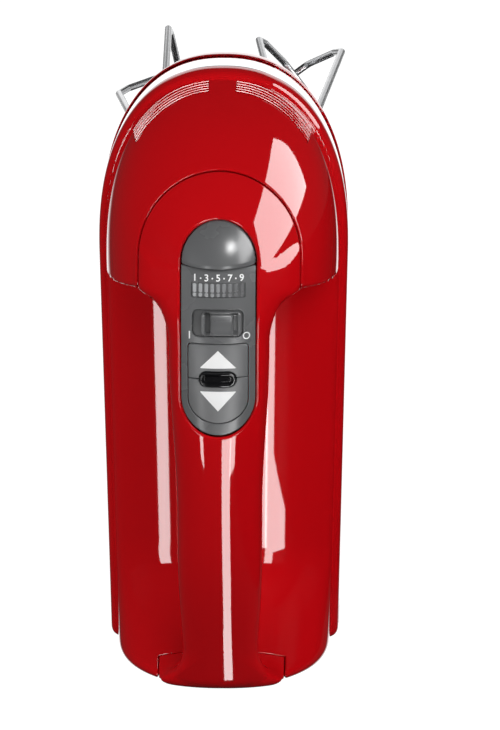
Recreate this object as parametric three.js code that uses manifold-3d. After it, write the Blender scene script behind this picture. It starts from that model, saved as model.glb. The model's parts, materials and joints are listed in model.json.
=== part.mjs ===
// Hand mixer, standing on its heel with the nose up: millimetres, +Z towards the nose,
// the handle and controls on the -Y side, the beaters pointing along +Y.
// y = 0 is the parting plane under the upper housing, z = 0 the face it stands on.
import * as THREE from 'three';
import { ParametricGeometry } from 'three/addons/geometries/ParametricGeometry.js';
import * as BufferGeometryUtils from 'three/addons/utils/BufferGeometryUtils.js';
import Module from 'manifold-3d';

const wasm = await Module();
wasm.setup();

// ---------- driving dimensions ----------
const NOSE_Z = 214.5;            // top of the rim at the nose
const SHOULDER_Z = 150;          // where the sides start to round into the nose
const RIM_HALF = 44.2;           // half width of the rim at SHOULDER_Z
const RIM_HALF_HEEL = 42.0;      // and at the heel
const NOSE_POWER = 2.3;          // superellipse power of the nose outline
const RIM_STEP = 3.2;            // width of the rim strip outside the crease
const CREASE_Y = 7;              // height of the crease above the parting plane
const SECTION_POWER = 2.12;      // superellipse power of the shell's sections
const PLAN_REAR = 0.8;           // the plan outline's straight edge, above the face it stands on
const PLAN_SIDES = 40;           // facets round the plan outline
const WALL = 2.5;
const GAP = 0.3;                 // clearance between neighbouring pieces
const DECK_HEIGHT = 20;          // crown of the deck under the handle
const HEEL_CROWN = 56;
const HEEL_ROUND = 5;
const DOME_REAR_Z = 151;         // rear wall of the motor dome
const OVERLAP = 7;               // how far the deck and handle run on inside the dome
const FLARE_Z = 133;             // where the handle starts to widen into the dome
const FLARE = 6.6;               // and how much wider it is at the dome
const HANDLE_UNDER = 48;         // height of the handle's underside
const COVER_RADIUS = 27.5;       // round end of the handle cover
const COVER_CENTRE_Z = 161;
const COVER_HEEL_HALF = 22.5;
const PANEL_HALF = 12.6;         // control panel
const PANEL_TOP_Z = 162.4;       // centre of its round top
const PANEL_BOTTOM_Z = 118;      // centre of its elliptical bottom
const PANEL_BOTTOM_RISE = 13;
const BAND_TALL = 20;            // bright trim band
const BASE_DEPTH = 55;           // lower housing, below the parting plane
const MOTOR_Y = 19;              // motor and worm axis height
const BEATER_X = 24.5;           // half the distance between the beater axes
const BEATER_Z = 166;
const GEAR_TEETH = 26;
const GEAR_MODULE = 1.05;
const WORM_LEAD = Math.PI * GEAR_MODULE;
const WORM_PITCH_R = BEATER_X - GEAR_MODULE * GEAR_TEETH / 2;
const BEATER_R = 24.6;           // beater cage, to the wire's centre line
const WIRE_R = 1.5;
const BEATER_TIP_Y = 215.5;
const SHAFT_R = 4;
const EJECT_TRAVEL = 6;
const SHAFT_TOP_Y = 8;

// ---------- materials ----------
const paint = (color, roughness, metalness = 0) =>
  new THREE.MeshStandardMaterial({ color, roughness, metalness });
const RED = () => paint(0xb40812, 0.12);
const GREY = () => paint(0x58595c, 0.45);
const BLACK = () => paint(0x111214, 0.35);
const CHROME = () => paint(0xe8e8ea, 0.08, 1);
const STEEL = () => paint(0xa9abad, 0.3, 1);
const COPPER = () => paint(0xb06a35, 0.35, 1);
const BRASS = () => paint(0xb59a58, 0.3, 1);
const BOARD = () => paint(0x1f5a38, 0.5);
const RUBBER = () => paint(0x232326, 0.85);
const NYLON = () => paint(0xd8d5c8, 0.5);

// ---------- solids ----------
function solid(geometry) {
  const bare = geometry.clone();
  for (const name of Object.keys(bare.attributes)) if (name !== 'position') bare.deleteAttribute(name);
  const merged = BufferGeometryUtils.mergeVertices(bare, 1e-4);
  const index = merged.index.array;
  const kept = [];
  for (let i = 0; i < index.length; i += 3) {
    const [a, b, c] = [index[i], index[i + 1], index[i + 2]];
    if (a !== b && b !== c && c !== a) kept.push(a, b, c);
  }
  const vertProperties = new Float32Array(merged.attributes.position.array);
  const make = tris => new wasm.Manifold(new wasm.Mesh({
    numProp: 3, vertProperties, triVerts: new Uint32Array(tris) }));
  const result = make(kept);
  if (result.volume() > 0) return result;
  for (let i = 0; i < kept.length; i += 3) [kept[i + 1], kept[i + 2]] = [kept[i + 2], kept[i + 1]];
  return make(kept);
}
function geometryOf(manifold) {
  const mesh = manifold.getMesh();
  const count = mesh.vertProperties.length / mesh.numProp;
  const positions = new Float32Array(count * 3);
  for (let i = 0; i < count; i++) {
    for (let k = 0; k < 3; k++) positions[3 * i + k] = mesh.vertProperties[mesh.numProp * i + k];
  }
  const geometry = new THREE.BufferGeometry();
  geometry.setAttribute('position', new THREE.BufferAttribute(positions, 3));
  geometry.setIndex(new THREE.BufferAttribute(new Uint32Array(mesh.triVerts), 1));
  return geometry;
}
const largest = piece => piece.decompose().sort((a, b) => b.volume() - a.volume())[0];
const union = list => list.slice(1).reduce((sum, item) => sum.add(item), list[0]);

const box = (x0, y0, z0, x1, y1, z1) => solid(
  new THREE.BoxGeometry(x1 - x0, y1 - y0, z1 - z0)
    .translate((x0 + x1) / 2, (y0 + y1) / 2, (z0 + z1) / 2));
// a cylinder along Y or Z; r1 is the radius at the higher end
const rodY = (x, z, y0, y1, r0, r1 = r0, sides = 14) => solid(
  new THREE.CylinderGeometry(r1, r0, y1 - y0, sides).translate(x, (y0 + y1) / 2, z));
const rodZ = (x, y, z0, z1, r0, r1 = r0, sides = 14) => solid(
  new THREE.CylinderGeometry(r1, r0, z1 - z0, sides).rotateX(Math.PI / 2)
    .translate(x, y, (z0 + z1) / 2));
const tubeY = (x, z, y0, y1, inner, outer, sides = 14) =>
  rodY(x, z, y0, y1, outer, outer, sides).subtract(rodY(x, z, y0 - 1, y1 + 1, inner, inner, sides));
const tubeZ = (x, y, z0, z1, inner, outer, sides = 14) =>
  rodZ(x, y, z0, z1, outer, outer, sides).subtract(rodZ(x, y, z0 - 1, z1 + 1, inner, inner, sides));
// an outline drawn in the X-Z plane, pushed out from y0 to y1
function plate(shape, y0, y1, curveSegments = 10) {
  const geometry = new THREE.ExtrudeGeometry(shape, { depth: y1 - y0, bevelEnabled: false, curveSegments });
  return solid(geometry.rotateX(Math.PI / 2).translate(0, y1, 0));
}
const shapeOf = points => new THREE.Shape(points.map(([x, z]) => new THREE.Vector2(x, z)));
// rings(k) gives the k-th ring as a function of u in 0..1; both ends are closed to a point
function loft(count, ring, sides) {
  const place = (u, v, target) => {
    const row = Math.round(v * (count + 1));
    const at = ring(Math.min(Math.max(row - 1, 0), count - 1));
    if (row > 0 && row <= count) {
      at(u % 1, target);
      return;
    }
    const middle = new THREE.Vector3();
    for (let i = 0; i < sides; i++) {
      at(i / sides, target);
      middle.addScaledVector(target, 1 / sides);
    }
    target.copy(middle);
  };
  return solid(new ParametricGeometry(place, sides, count + 1));
}

// ---------- body formulas ----------
const lerp = (a, b, t) => a + (b - a) * t;
const clamp01 = t => Math.min(Math.max(t, 0), 1);
const power = (value, p) => Math.sign(value) * Math.abs(value) ** p;
// half width of the plan outline at height z, moved in by inset
function planHalf(z, inset = 0) {
  if (z <= SHOULDER_Z) return lerp(RIM_HALF_HEEL, RIM_HALF, z / SHOULDER_Z) - inset;
  const t = clamp01((z - SHOULDER_Z) / (NOSE_Z - inset - SHOULDER_Z));
  return (RIM_HALF - inset) * (1 - t ** NOSE_POWER) ** (1 / NOSE_POWER);
}
// crown of the motor dome and handle, as a height above the parting plane
const CROWN = new THREE.SplineCurve([[0, 56], [8, 58.5], [20, 63], [40, 69], [60, 73], [80, 75.5],
  [110, 76.8], [140, 74.8], [160, 69]].map(([z, y]) => new THREE.Vector2(z, y)));
function crown(z) {
  if (z > SHOULDER_Z) {
    const t = clamp01((z - SHOULDER_Z) / (NOSE_Z - RIM_STEP - SHOULDER_Z));
    return CREASE_Y + (crown(SHOULDER_Z) - CREASE_Y) * (1 - t ** 1.6) ** 0.86;
  }
  let [low, high] = [0, 1];
  for (let i = 0; i < 30; i++) {
    const middle = (low + high) / 2;
    if (CROWN.getPoint(middle).x < z) low = middle; else high = middle;
  }
  return CROWN.getPoint(low).y;
}
// the deck under the handle, sweeping up to the heel
const deck = z => DECK_HEIGHT + (HEEL_CROWN - DECK_HEIGHT) * clamp01((45 - z) / 38) ** 2.4;
// how far the heel's rounded end has pulled in at height z
const heelRound = z => z >= HEEL_ROUND ? 0
  : HEEL_ROUND - Math.sqrt(HEEL_ROUND ** 2 - (HEEL_ROUND - z) ** 2);
// half width of the handle, flaring into the dome and into the heel
const handleHalf = z => 14.6 + 2.2 * clamp01((z - 80) / 50) ** 2
  + FLARE * clamp01((z - FLARE_Z) / (DOME_REAR_Z - FLARE_Z)) ** 2
  - 1.6 * clamp01((50 - z) / 30) + 9 * clamp01((16 - z) / 13) ** 2;

// a shell section: a superelliptic arch over a flat bottom
function arch(half, height, z, bottom) {
  return (u, target) => {
    const angle = u * 2 * Math.PI;
    const x = half * power(Math.cos(angle), 2 / SECTION_POWER);
    const rise = Math.sin(angle);
    const foot = CREASE_Y - 0.5;
    const y = rise >= 0 ? foot + (height - foot) * power(rise, 2 / SECTION_POWER) : bottom;
    target.set(x, -y, z);
  };
}
// the plan outline as a ring at height y; u runs up the left side, round the nose and down the right
function planRing(y, inset, rear) {
  const a = RIM_HALF - inset;
  const b = NOSE_Z - inset - SHOULDER_Z;
  const corner = 4;
  return (u, target) => {
    let [x, z] = [0, 0];
    if (u < 0.2 || u > 0.8) {
      const t = clamp01((u < 0.2 ? u : 1 - u) / 0.2);
      if (t < 0.5) {
        const turn = Math.max(t - 0.25, 0) * 2 * Math.PI;
        const along = Math.min(t / 0.25, 1) * (planHalf(rear + corner, inset) - corner);
        [x, z] = [along + corner * Math.sin(turn), rear + corner * (1 - Math.cos(turn))];
      } else {
        z = lerp(rear + corner, SHOULDER_Z, (t - 0.5) / 0.5);
        x = planHalf(z, inset);
      }
      x *= u < 0.2 ? -1 : 1;
    } else {
      const angle = Math.PI * (1 - (u - 0.2) / 0.6);
      x = a * power(Math.cos(angle), 2 / NOSE_POWER);
      z = SHOULDER_Z + b * power(Math.sin(angle), 2 / NOSE_POWER);
    }
    target.set(x, y, z);
  };
}

// ---------- the upper body's outer form, or the cavity a wall thickness inside it ----------
function upperForm(inset, sides, rows) {
  const cavity = inset > 0.01;
  const bottom = cavity ? -2 : 2;
  const at = (from, to, k) => lerp(from, to, k / (rows - 1));
  const [rimY, rimInset] = [[0, -2.2, -5.2, -CREASE_Y], [0, 0, 1, RIM_STEP]];
  const rim = cavity ? null : loft(4, k => planRing(rimY[k], rimInset[k], PLAN_REAR), PLAN_SIDES);
  const base = loft(rows, k => {
    const z = inset + (DOME_REAR_Z + OVERLAP - inset) * at(0, 1, k) ** 1.7;
    const pull = inset + heelRound(z - inset);
    return arch(planHalf(z, RIM_STEP + pull), deck(z) - pull, z, bottom);
  }, sides);
  const dome = loft(rows + 4, k => {
    const rear = DOME_REAR_Z + inset;
    const t = k / (rows + 3);
    const z = lerp(rear, NOSE_Z - RIM_STEP - inset - 0.2, Math.sin(t * Math.PI / 2));
    const pull = 7 * (1 - clamp01((z - rear) / 7)) ** 2;
    const scale = (NOSE_Z - RIM_STEP - SHOULDER_Z) / (NOSE_Z - RIM_STEP - inset - SHOULDER_Z);
    const along = z > SHOULDER_Z ? SHOULDER_Z + (z - SHOULDER_Z) * scale : z;
    const height = Math.max(crown(along) - inset - 0.6 * pull, CREASE_Y - inset + 0.6);
    return arch(planHalf(z, RIM_STEP + inset) - pull, height, z, bottom);
  }, sides);
  const handle = loft(rows + 6, k => {
    const z = lerp(inset, DOME_REAR_Z + OVERLAP, k / (rows + 5));
    const pull = inset + heelRound(z - inset);
    const top = crown(z) - pull;
    const under = HANDLE_UNDER + inset - 20 * clamp01((30 - z) / 26) ** 2
      - 16 * clamp01((z - FLARE_Z) / 16) ** 2;
    const half = handleHalf(z) - pull;
    // it never stands outside the dome's arch carried on towards the heel
    const room = height => z < 110 ? half : (planHalf(z, RIM_STEP) - 0.4)
      * Math.max(1 - clamp01((height - CREASE_Y) / (crown(z) + 0.5 - CREASE_Y)) ** SECTION_POWER, 0)
      ** (1 / SECTION_POWER) - inset;
    return (u, target) => {
      const angle = u * 2 * Math.PI;
      const height = (top + under) / 2 + (top - under) / 2 * power(Math.sin(angle), 2 / 2.4);
      const x = half * power(Math.cos(angle), 2 / 2.4);
      target.set(Math.sign(x) * Math.min(Math.abs(x), Math.max(room(height), 0)), -height, z);
    };
  }, Math.round(sides * 0.7));
  return union([base, dome, handle, rim].filter(Boolean));
}
// what belongs to the handle cover: the dome's round patch, the handle's upper half, the heel's middle
function coverRegion(inset) {
  const r = COVER_RADIUS - inset;
  const patch = new THREE.Shape();
  patch.moveTo(-r, DOME_REAR_Z - 1);
  patch.lineTo(-r, COVER_CENTRE_Z);
  patch.absarc(0, COVER_CENTRE_Z, r, Math.PI, 0, true);
  patch.lineTo(r, DOME_REAR_Z - 1);
  const side = [[DOME_REAR_Z, -60], [124, -61], [60, -59.5], [22, -50], [10, -42], [-5, -42], [-5, -100],
    [DOME_REAR_Z, -100]]
    .map(([z, y]) => [z, y > -90 ? y - inset : y]);
  const half = COVER_HEEL_HALF - inset;
  const grip = solid(new THREE.ExtrudeGeometry(shapeOf(side), { depth: 2 * half, bevelEnabled: false })
    .rotateY(-Math.PI / 2).translate(half, 0, 0));
  return plate(patch, -100, -42 - inset, 14).add(grip);
}
function panelShape(grow, bottom = PANEL_BOTTOM_Z) {
  const shape = new THREE.Shape();
  const half = PANEL_HALF + grow;
  shape.absarc(0, PANEL_TOP_Z, half, 0, Math.PI, false);
  shape.absellipse(0, bottom, half, PANEL_BOTTOM_RISE + grow, Math.PI, 2 * Math.PI, false);
  return shape;
}
const circle = r => shapeOf(Array.from({ length: 20 }, (_, i) =>
  [r * Math.cos(i * Math.PI / 10), r * Math.sin(i * Math.PI / 10)]));
const rect = (x0, z0, x1, z1) => shapeOf([[x0, z0], [x1, z0], [x1, z1], [x0, z1]]);
const PANEL_TALL = 100;   // cutters along Y are longer than the shell is tall
const cutY = shape => plate(shape, -PANEL_TALL, -53);

const parts = new THREE.Group();
function add(name, piece, material) {
  const mesh = new THREE.Mesh(geometryOf(piece), material);
  mesh.name = name;
  parts.add(mesh);
}

// ---------- housings ----------
const SCREWS = [[-19, 26], [19, 26], [-15, 192], [15, 192]];
const SCREW_R = 1.6;
const outer = upperForm(0, 24, 8);
const shell = outer.subtract(upperForm(WALL, 16, 8));
const HEEL_PAD = { half: 22, y0: -36, y1: 36, deep: 3, proud: 0.8 };

// two arc slots on each side, just inside the crease of the nose
const AIR_SLOT = { insets: [[0.5, 1.2], [1.9, 2.6]], turns: [85, 75, 66, 58, 51, 44] };
function airSlots() {
  const point = (side, inset, degrees) => {
    const angle = degrees * Math.PI / 180;
    const edge = RIM_STEP + inset;
    return [side * (RIM_HALF - edge) * power(Math.cos(angle), 2 / NOSE_POWER),
      SHOULDER_Z + (NOSE_Z - edge - SHOULDER_Z) * power(Math.sin(angle), 2 / NOSE_POWER)];
  };
  return [-1, 1].flatMap(side => AIR_SLOT.insets.map(([near, far]) => plate(shapeOf([
    ...AIR_SLOT.turns.map(t => point(side, near, t)),
    ...AIR_SLOT.turns.slice().reverse().map(t => point(side, far, t))]), -30, -CREASE_Y + 3)));
}
function upperHousing() {
  let body = shell.subtract(coverRegion(-GAP / 2));
  const bosses = SCREWS.map(([x, z]) => rodY(x, z, z > 100 ? -28 : -24, 14, 4.2, 4.2, 12));
  body = union([body, ...bosses.map(boss => boss.intersect(outer.add(box(-40, -1, 1, 40, 20, 212))))]);
  for (const [x, z] of SCREWS) body = body.subtract(rodY(x, z, -18, 20, SCREW_R + GAP, SCREW_R + GAP, 10));
  for (const slot of airSlots()) body = body.subtract(slot);
  const { half, y0, deep } = HEEL_PAD;
  return body.subtract(box(-half - GAP, y0 - GAP, -1, half + GAP, 5, deep + GAP));
}
function handleCover() {
  const opening = cutY(panelShape(GAP));
  return largest(shell.intersect(coverRegion(GAP / 2)).subtract(opening));
}
add('upper_housing', upperHousing(), RED());
add('handle_cover', handleCover(), RED());

// bright band round the nose and sides, open at the heel
function trimBand() {
  const ring = inset => loft(2, k => planRing([GAP, BAND_TALL - GAP][k], inset + [0.2, -0.2][k], 1), PLAN_SIDES);
  return ring(0).subtract(loft(2, k => planRing([-1, BAND_TALL + 1][k], 2.2, 1), PLAN_SIDES))
    .subtract(box(-60, -5, -5, 60, 30, 14));
}
add('trim_band', trimBand(), CHROME());

// the cord's inlet in the heel; the photograph shows no cord, so only the gland is made
const GLAND_Y = 43;
const GLAND_R = 5.5;
function lowerHousing() {
  const levels = [[BAND_TALL, 0.5], [30, 1.3], [38, 3], [46, 7.5], [52, 13], [BASE_DEPTH, 18]];
  const tub = (extra, count) => loft(count, k => {
    const [y, inset] = levels[k];
    const raised = extra ? WALL * (k / (count - 1)) + (k ? 0 : 3) : 0;
    return planRing(y - raised, inset + extra, PLAN_REAR + inset * 0.5 + extra);
  }, PLAN_SIDES);
  const collar = x => rodY(x, BEATER_Z, BASE_DEPTH - 4, BASE_DEPTH + 3, 12, 10.5, 20);
  let body = tub(0, levels.length);
  const upstand = loft(2, k => planRing([GAP, BAND_TALL + 1][k], 2.8, 2.4), PLAN_SIDES);
  const heel = loft(2, k => planRing([GAP, BAND_TALL + 1][k], 0.4, PLAN_REAR), PLAN_SIDES)
    .intersect(box(-60, -5, -5, 60, 30, 14 - GAP));
  body = union([body, upstand, heel]);
  const hollow = loft(2, k => planRing([-1, BAND_TALL + 4][k], 4.3, 5.5), PLAN_SIDES).add(tub(WALL, levels.length));
  body = body.subtract(hollow);
  for (const x of [-BEATER_X, BEATER_X]) {
    body = body.subtract(rodY(x, BEATER_Z, 12, 28, 15.4, 15.4, 24)).add(collar(x));
  }
  for (const [x, z] of SCREWS) body = body.add(rodY(x, z, 14 + GAP, 54, 4.6, 5.2, 12));
  for (const x of [-BEATER_X, BEATER_X]) body = body.subtract(rodY(x, BEATER_Z, 40, 70, 8.2, 8.2, 20));
  for (const [x, z] of SCREWS) {
    body = body.subtract(rodY(x, z, 0, 60, SCREW_R + GAP, SCREW_R + GAP, 10))
      .subtract(rodY(x, z, 49, 60, 3.6, 3.6, 12));
  }
  const { half, y1, deep } = HEEL_PAD;
  return body.subtract(box(-half - GAP, -1, -1, half + GAP, y1 + GAP, deep + GAP))
    .subtract(rodZ(0, GLAND_Y, -1, 12, GLAND_R + GAP, GLAND_R + GAP, 16));
}
add('lower_housing', lowerHousing(), RED());
add('heel_pad', plate(rect(-HEEL_PAD.half, 0, HEEL_PAD.half, HEEL_PAD.deep), HEEL_PAD.y0, HEEL_PAD.y1),
  RUBBER());
add('cord_gland', rodZ(0, GLAND_Y, 4.5, 11.5, GLAND_R, GLAND_R, 16).add(rodZ(0, GLAND_Y, 11, 15, 7, 7, 16))
  .subtract(rodZ(0, GLAND_Y, 0, 20, 3.2, 3.2, 12)), BLACK());
SCREWS.forEach(([x, z], i) => add(`housing_screw_${i + 1}`,
  rodY(x, z, -12, 50, SCREW_R, SCREW_R, 8).add(rodY(x, z, 49 + GAP, 51.5, 3.1, 3.1, 12)), STEEL()));

// ---------- control panel ----------
const KEY = { half: 10, top: 136.6, split: 125.1, bottom: 109.6 };
const BAR = { x0: -6.2, x1: 6, z0: 122.4, z1: 127.4 };
const KNOB = { x0: -5.7, x1: 7.8, z0: 139.5, z1: 147.3 };
const KNOB_TRAVEL = 2.4;
const DISPLAY = { half: 9.2, z0: 151.3, z1: 156.6 };
const BUTTON_GAP_Z = 161.3;      // lower edge of the ejector button
function buttonShape(shrink) {
  const shape = new THREE.Shape();
  const half = PANEL_HALF - 0.9 - shrink;
  shape.absarc(0, PANEL_TOP_Z, half, 0, Math.PI, false);
  shape.absellipse(0, BUTTON_GAP_Z + 1.1, half, 2.2 - shrink, Math.PI, 2 * Math.PI, false);
  return shape;
}
function keyShape(top, shrink) {
  const shape = new THREE.Shape();
  const half = KEY.half - shrink;
  if (top) return rect(-half, KEY.split + shrink, half, KEY.top - shrink);
  shape.moveTo(half, KEY.split - shrink);
  shape.lineTo(-half, KEY.split - shrink);
  const drop = PANEL_BOTTOM_Z - KEY.bottom - shrink;
  shape.absellipse(0, PANEL_BOTTOM_Z, half, drop, Math.PI, 2 * Math.PI, false);
  return shape;
}
const grown = (r, by) => rect(r.x0 - by, r.z0 - by, r.x1 + by, r.z1 + by);
const skin = (from, to) => upperForm(from, 24, 8).subtract(upperForm(to, 16, 8));
const panelSkin = skin(0.4, 2.6);
const knobSlot = rect(KNOB.x0 - KNOB_TRAVEL - 0.3, KNOB.z0 - 0.4, KNOB.x1 + 0.5, KNOB.z1 + 0.4);
function controlBezel() {
  let bezel = panelSkin.intersect(cutY(panelShape(0)));
  const holes = [buttonShape(-GAP), keyShape(true, -GAP), keyShape(false, -GAP), knobSlot,
    rect(-DISPLAY.half - GAP, DISPLAY.z0 - GAP, DISPLAY.half + GAP, DISPLAY.z1 + GAP)];
  for (const hole of holes) bezel = bezel.subtract(cutY(hole));
  return largest(bezel);
}
add('control_bezel', controlBezel(), GREY());
const keySkin = skin(0.01, 5);
const lift = (piece, by) => piece.translate([0, -by, 0]);
const barCut = cutY(grown(BAR, GAP));
for (const [name, top] of [['up', true], ['down', false]]) {
  add(`speed_${name}_key`, largest(lift(keySkin, 0.3).intersect(cutY(keyShape(top, 0.1))).subtract(barCut)),
    GREY());
}
add('tactile_bar', largest(lift(skin(0.01, 7), 0.9).intersect(cutY(grown(BAR, 0)))), BLACK());
add('display_lens', skin(0.5, 1.8).intersect(
  cutY(rect(-DISPLAY.half, DISPLAY.z0, DISPLAY.half, DISPLAY.z1))), BLACK());
function powerKnob() {
  const block = lift(skin(0.01, 7), 1.6).intersect(cutY(grown(KNOB, 0)));
  const scoopR = 7.2;
  const scoopY = -crown((KNOB.z0 + KNOB.z1) / 2) - scoopR + 0.6;
  return largest(block.subtract(rodZ((KNOB.x0 + KNOB.x1) / 2, scoopY, 130, 160, scoopR, scoopR, 20)));
}
add('power_knob', powerKnob(), GREY());

// ---------- beater ejector ----------
const YOKE_Z = 165;
const YOKE_BAR_Y = -3;
add('ejector_button', lift(skin(0.01, 7), 1.2).intersect(cutY(buttonShape(0.1))), GREY());
function ejectorYoke() {
  const stem = rodY(0, YOKE_Z, -50, YOKE_BAR_Y, 2.5, 2.5, 10).add(rodY(0, YOKE_Z, -51.5, -49, 6, 6, 12));
  const bar = box(-BEATER_X - 4, YOKE_BAR_Y - 1, YOKE_Z - 3, BEATER_X + 4, YOKE_BAR_Y + 2.5, YOKE_Z + 4);
  const padEnd = SHAFT_TOP_Y - EJECT_TRAVEL - 0.5;
  const pads = [-1, 1].map(side => rodY(side * BEATER_X, BEATER_Z, -1, padEnd, 3.6));
  return union([stem, bar, ...pads]);
}
add('ejector_yoke', ejectorYoke(), NYLON());
class Coil extends THREE.Curve {
  constructor(x, z, radius, y0, y1, turns) {
    super();
    Object.assign(this, { x, z, radius, y0, y1, turns });
  }
  getPoint(t, target = new THREE.Vector3()) {
    const angle = t * this.turns * 2 * Math.PI;
    return target.set(this.x + this.radius * Math.cos(angle), lerp(this.y0, this.y1, t),
      this.z + this.radius * Math.sin(angle));
  }
}
const wireShape = (r, sides) => new THREE.Shape(
  Array.from({ length: sides }, (_, i) => new THREE.Vector2(
    r * Math.cos(2 * Math.PI * i / sides), r * Math.sin(2 * Math.PI * i / sides))));
const SPRING_SEAT_Y = -24;
const springPath = new Coil(0, YOKE_Z, 4.6, SPRING_SEAT_Y - 1, -48, 5);
add('ejector_spring', solid(new THREE.ExtrudeGeometry(wireShape(0.5, 5),
  { steps: 38, bevelEnabled: false, extrudePath: springPath })), STEEL());
add('spring_seat', tubeY(0, YOKE_Z, SPRING_SEAT_Y, SPRING_SEAT_Y + 3, 2.5 + GAP, 8, 16)
  .add(box(-20, SPRING_SEAT_Y, YOKE_Z - 3, -7.5, SPRING_SEAT_Y + 3, YOKE_Z + 3))
  .add(box(7.5, SPRING_SEAT_Y, YOKE_Z - 3, 20, SPRING_SEAT_Y + 3, YOKE_Z + 3)), NYLON());

// ---------- electronics under the panel ----------
const BOARD_Y = -62;
add('control_board', box(-9.5, BOARD_Y, 104, 9.5, BOARD_Y + 1.6, 154), BOARD());
[['up', 131], ['down', 117]].forEach(([name, z]) => add(`key_switch_${name}`,
  box(-3, BOARD_Y - 3.5, z - 3, 3, BOARD_Y - GAP, z + 3)
    .add(rodY(0, z, BOARD_Y - 4.6, BOARD_Y - 3, 1.5, 1.5, 10)), BLACK()));
add('power_switch', box(-6, BOARD_Y - 4.2, 141, 6, BOARD_Y - GAP, 148), BLACK());
add('power_board', box(-13, -12, 12, 13, -10.4, 44).add(box(-8, -11, 16, 8, 4, 30)), BOARD());

// ---------- motor ----------
const STACK = [78, 106];
function statorCore() {
  const [z0, z1] = STACK;
  let core = box(-28, MOTOR_Y - 24, z0, 28, MOTOR_Y + 24, z1)
    .subtract(rodZ(0, MOTOR_Y, z0 - 1, z1 + 1, 16.6));
  for (const [sx, sy] of [[-1, -1], [-1, 1], [1, -1], [1, 1]]) {
    const xs = [13.6 * sx, 20.4 * sx].sort((p, q) => p - q);
    const ys = [12.9 * sy, 18.7 * sy].sort((p, q) => p - q);
    core = core.subtract(box(xs[0], MOTOR_Y + ys[0], z0 - 1, xs[1], MOTOR_Y + ys[1], z1 + 1));
  }
  return core;
}
add('stator_core', statorCore(), STEEL());
for (const [name, side] of [['upper', -1], ['lower', 1]]) {
  const near = MOTOR_Y + side * 13.2;
  const far = MOTOR_Y + side * 18.4;
  const [y0, y1] = [Math.min(near, far), Math.max(near, far)];
  const frame = rect(-20.1, STACK[0] - 5.5, 20.1, STACK[1] + 5.5);
  frame.holes.push(rect(-13.9, STACK[0] - GAP, 13.9, STACK[1] + GAP));
  add(`field_winding_${name}`, plate(frame, y0, y1), COPPER());
}
// a disc with notches, for the armature's slots and the commutator's segments
function notched(count, inner, outerR, depth, width, z0, z1) {
  const points = [];
  for (let i = 0; i < count; i++) {
    const step = 2 * Math.PI / count;
    const half = width / outerR;
    for (const [r, a] of [[outerR, -step / 2 + half], [outerR, step / 2 - half],
      [outerR - depth, step / 2 - half], [outerR - depth, step / 2 + half]]) {
      points.push([r * Math.cos(i * step + a), r * Math.sin(i * step + a)]);
    }
  }
  const shape = shapeOf(points);
  shape.holes.push(circle(inner));
  return solid(new THREE.ExtrudeGeometry(shape, { depth: z1 - z0, bevelEnabled: false, curveSegments: 8 })
    .translate(0, MOTOR_Y, z0));
}
add('armature_core', notched(12, 7.3, 16, 3, 0.9, STACK[0] + 1, STACK[1] - 1), STEEL());
add('armature_winding', union([tubeZ(0, MOTOR_Y, STACK[0] - 6, STACK[1] + 6, 4.3, 7),
  tubeZ(0, MOTOR_Y, STACK[0] - 6, STACK[0] + 0.7, 4.3, 12.4),
  tubeZ(0, MOTOR_Y, STACK[1] - 0.7, STACK[1] + 6, 4.3, 12.4)]), COPPER());
add('commutator', notched(12, 4.3, 9, 0.6, 0.35, 56, 68), BRASS());
for (const [name, side] of [['left', -1], ['right', 1]]) {
  const span = (a, b) => side < 0 ? [-b, -a] : [a, b];
  const [b0, b1] = span(9.4, 19);
  add(`carbon_brush_${name}`, box(b0, MOTOR_Y - 3, 58.5, b1, MOTOR_Y + 3, 65.5), BLACK());
  const [h0, h1] = span(11.5, 24);
  const [c0, c1] = span(10, 20);
  add(`brush_holder_${name}`, box(h0, MOTOR_Y - 5, 56.5, h1, MOTOR_Y + 5, 67.5)
    .subtract(box(c0, MOTOR_Y - 3.3, 58.2, c1, MOTOR_Y + 3.3, 65.8)), BRASS());
}
// shaft and worm in one piece; the thread's radius follows the angle and the height
const WORM = { z0: 156, z1: 176, root: WORM_PITCH_R - 1.45, crest: WORM_PITCH_R + 0.9 };
function wormThread() {
  const rows = 30;
  const sides = 14;
  return loft(rows + 1, k => {
    const z = lerp(WORM.z0, WORM.z1, k / rows);
    return (u, target) => {
      const angle = u * 2 * Math.PI;
      const phase = (z - BEATER_Z) / WORM_LEAD - u;
      const offset = Math.abs(phase - Math.round(phase)) * WORM_LEAD;
      const fade = clamp01(Math.min(z - WORM.z0, WORM.z1 - z) / 1.5);
      const radius = WORM.root + (WORM.crest - WORM.root) * fade * clamp01((1 - offset) / 0.7);
      target.set(radius * Math.cos(angle), MOTOR_Y + radius * Math.sin(angle), z);
    };
  }, sides);
}
add('motor_shaft', union([rodZ(0, MOTOR_Y, 45, 192, SHAFT_R, SHAFT_R, 16), wormThread()]), STEEL());
function coolingFan() {
  const blades = [];
  for (let i = 0; i < 9; i++) {
    blades.push(solid(new THREE.BoxGeometry(12.5, 1.2, 10).rotateX(0.35)
      .translate(13.8, 0, 126).rotateZ(2 * Math.PI * i / 9).translate(0, MOTOR_Y, 0)));
  }
  return union([rodZ(0, MOTOR_Y, 119, 132, 8, 8, 18), rodZ(0, MOTOR_Y, 119, 121.5, 21, 21, 24), ...blades])
    .subtract(rodZ(0, MOTOR_Y, 110, 140, SHAFT_R + GAP, SHAFT_R + GAP, 16));
}
add('cooling_fan', coolingFan(), NYLON());
const BEARINGS = { rear: [47, 52], middle: [139, 145], front: [185, 191] };
for (const [name, [z0, z1]] of Object.entries(BEARINGS)) {
  add(`${name}_bearing`, tubeZ(0, MOTOR_Y, z0, z1, SHAFT_R + 0.15, 8), STEEL());
}
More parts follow.
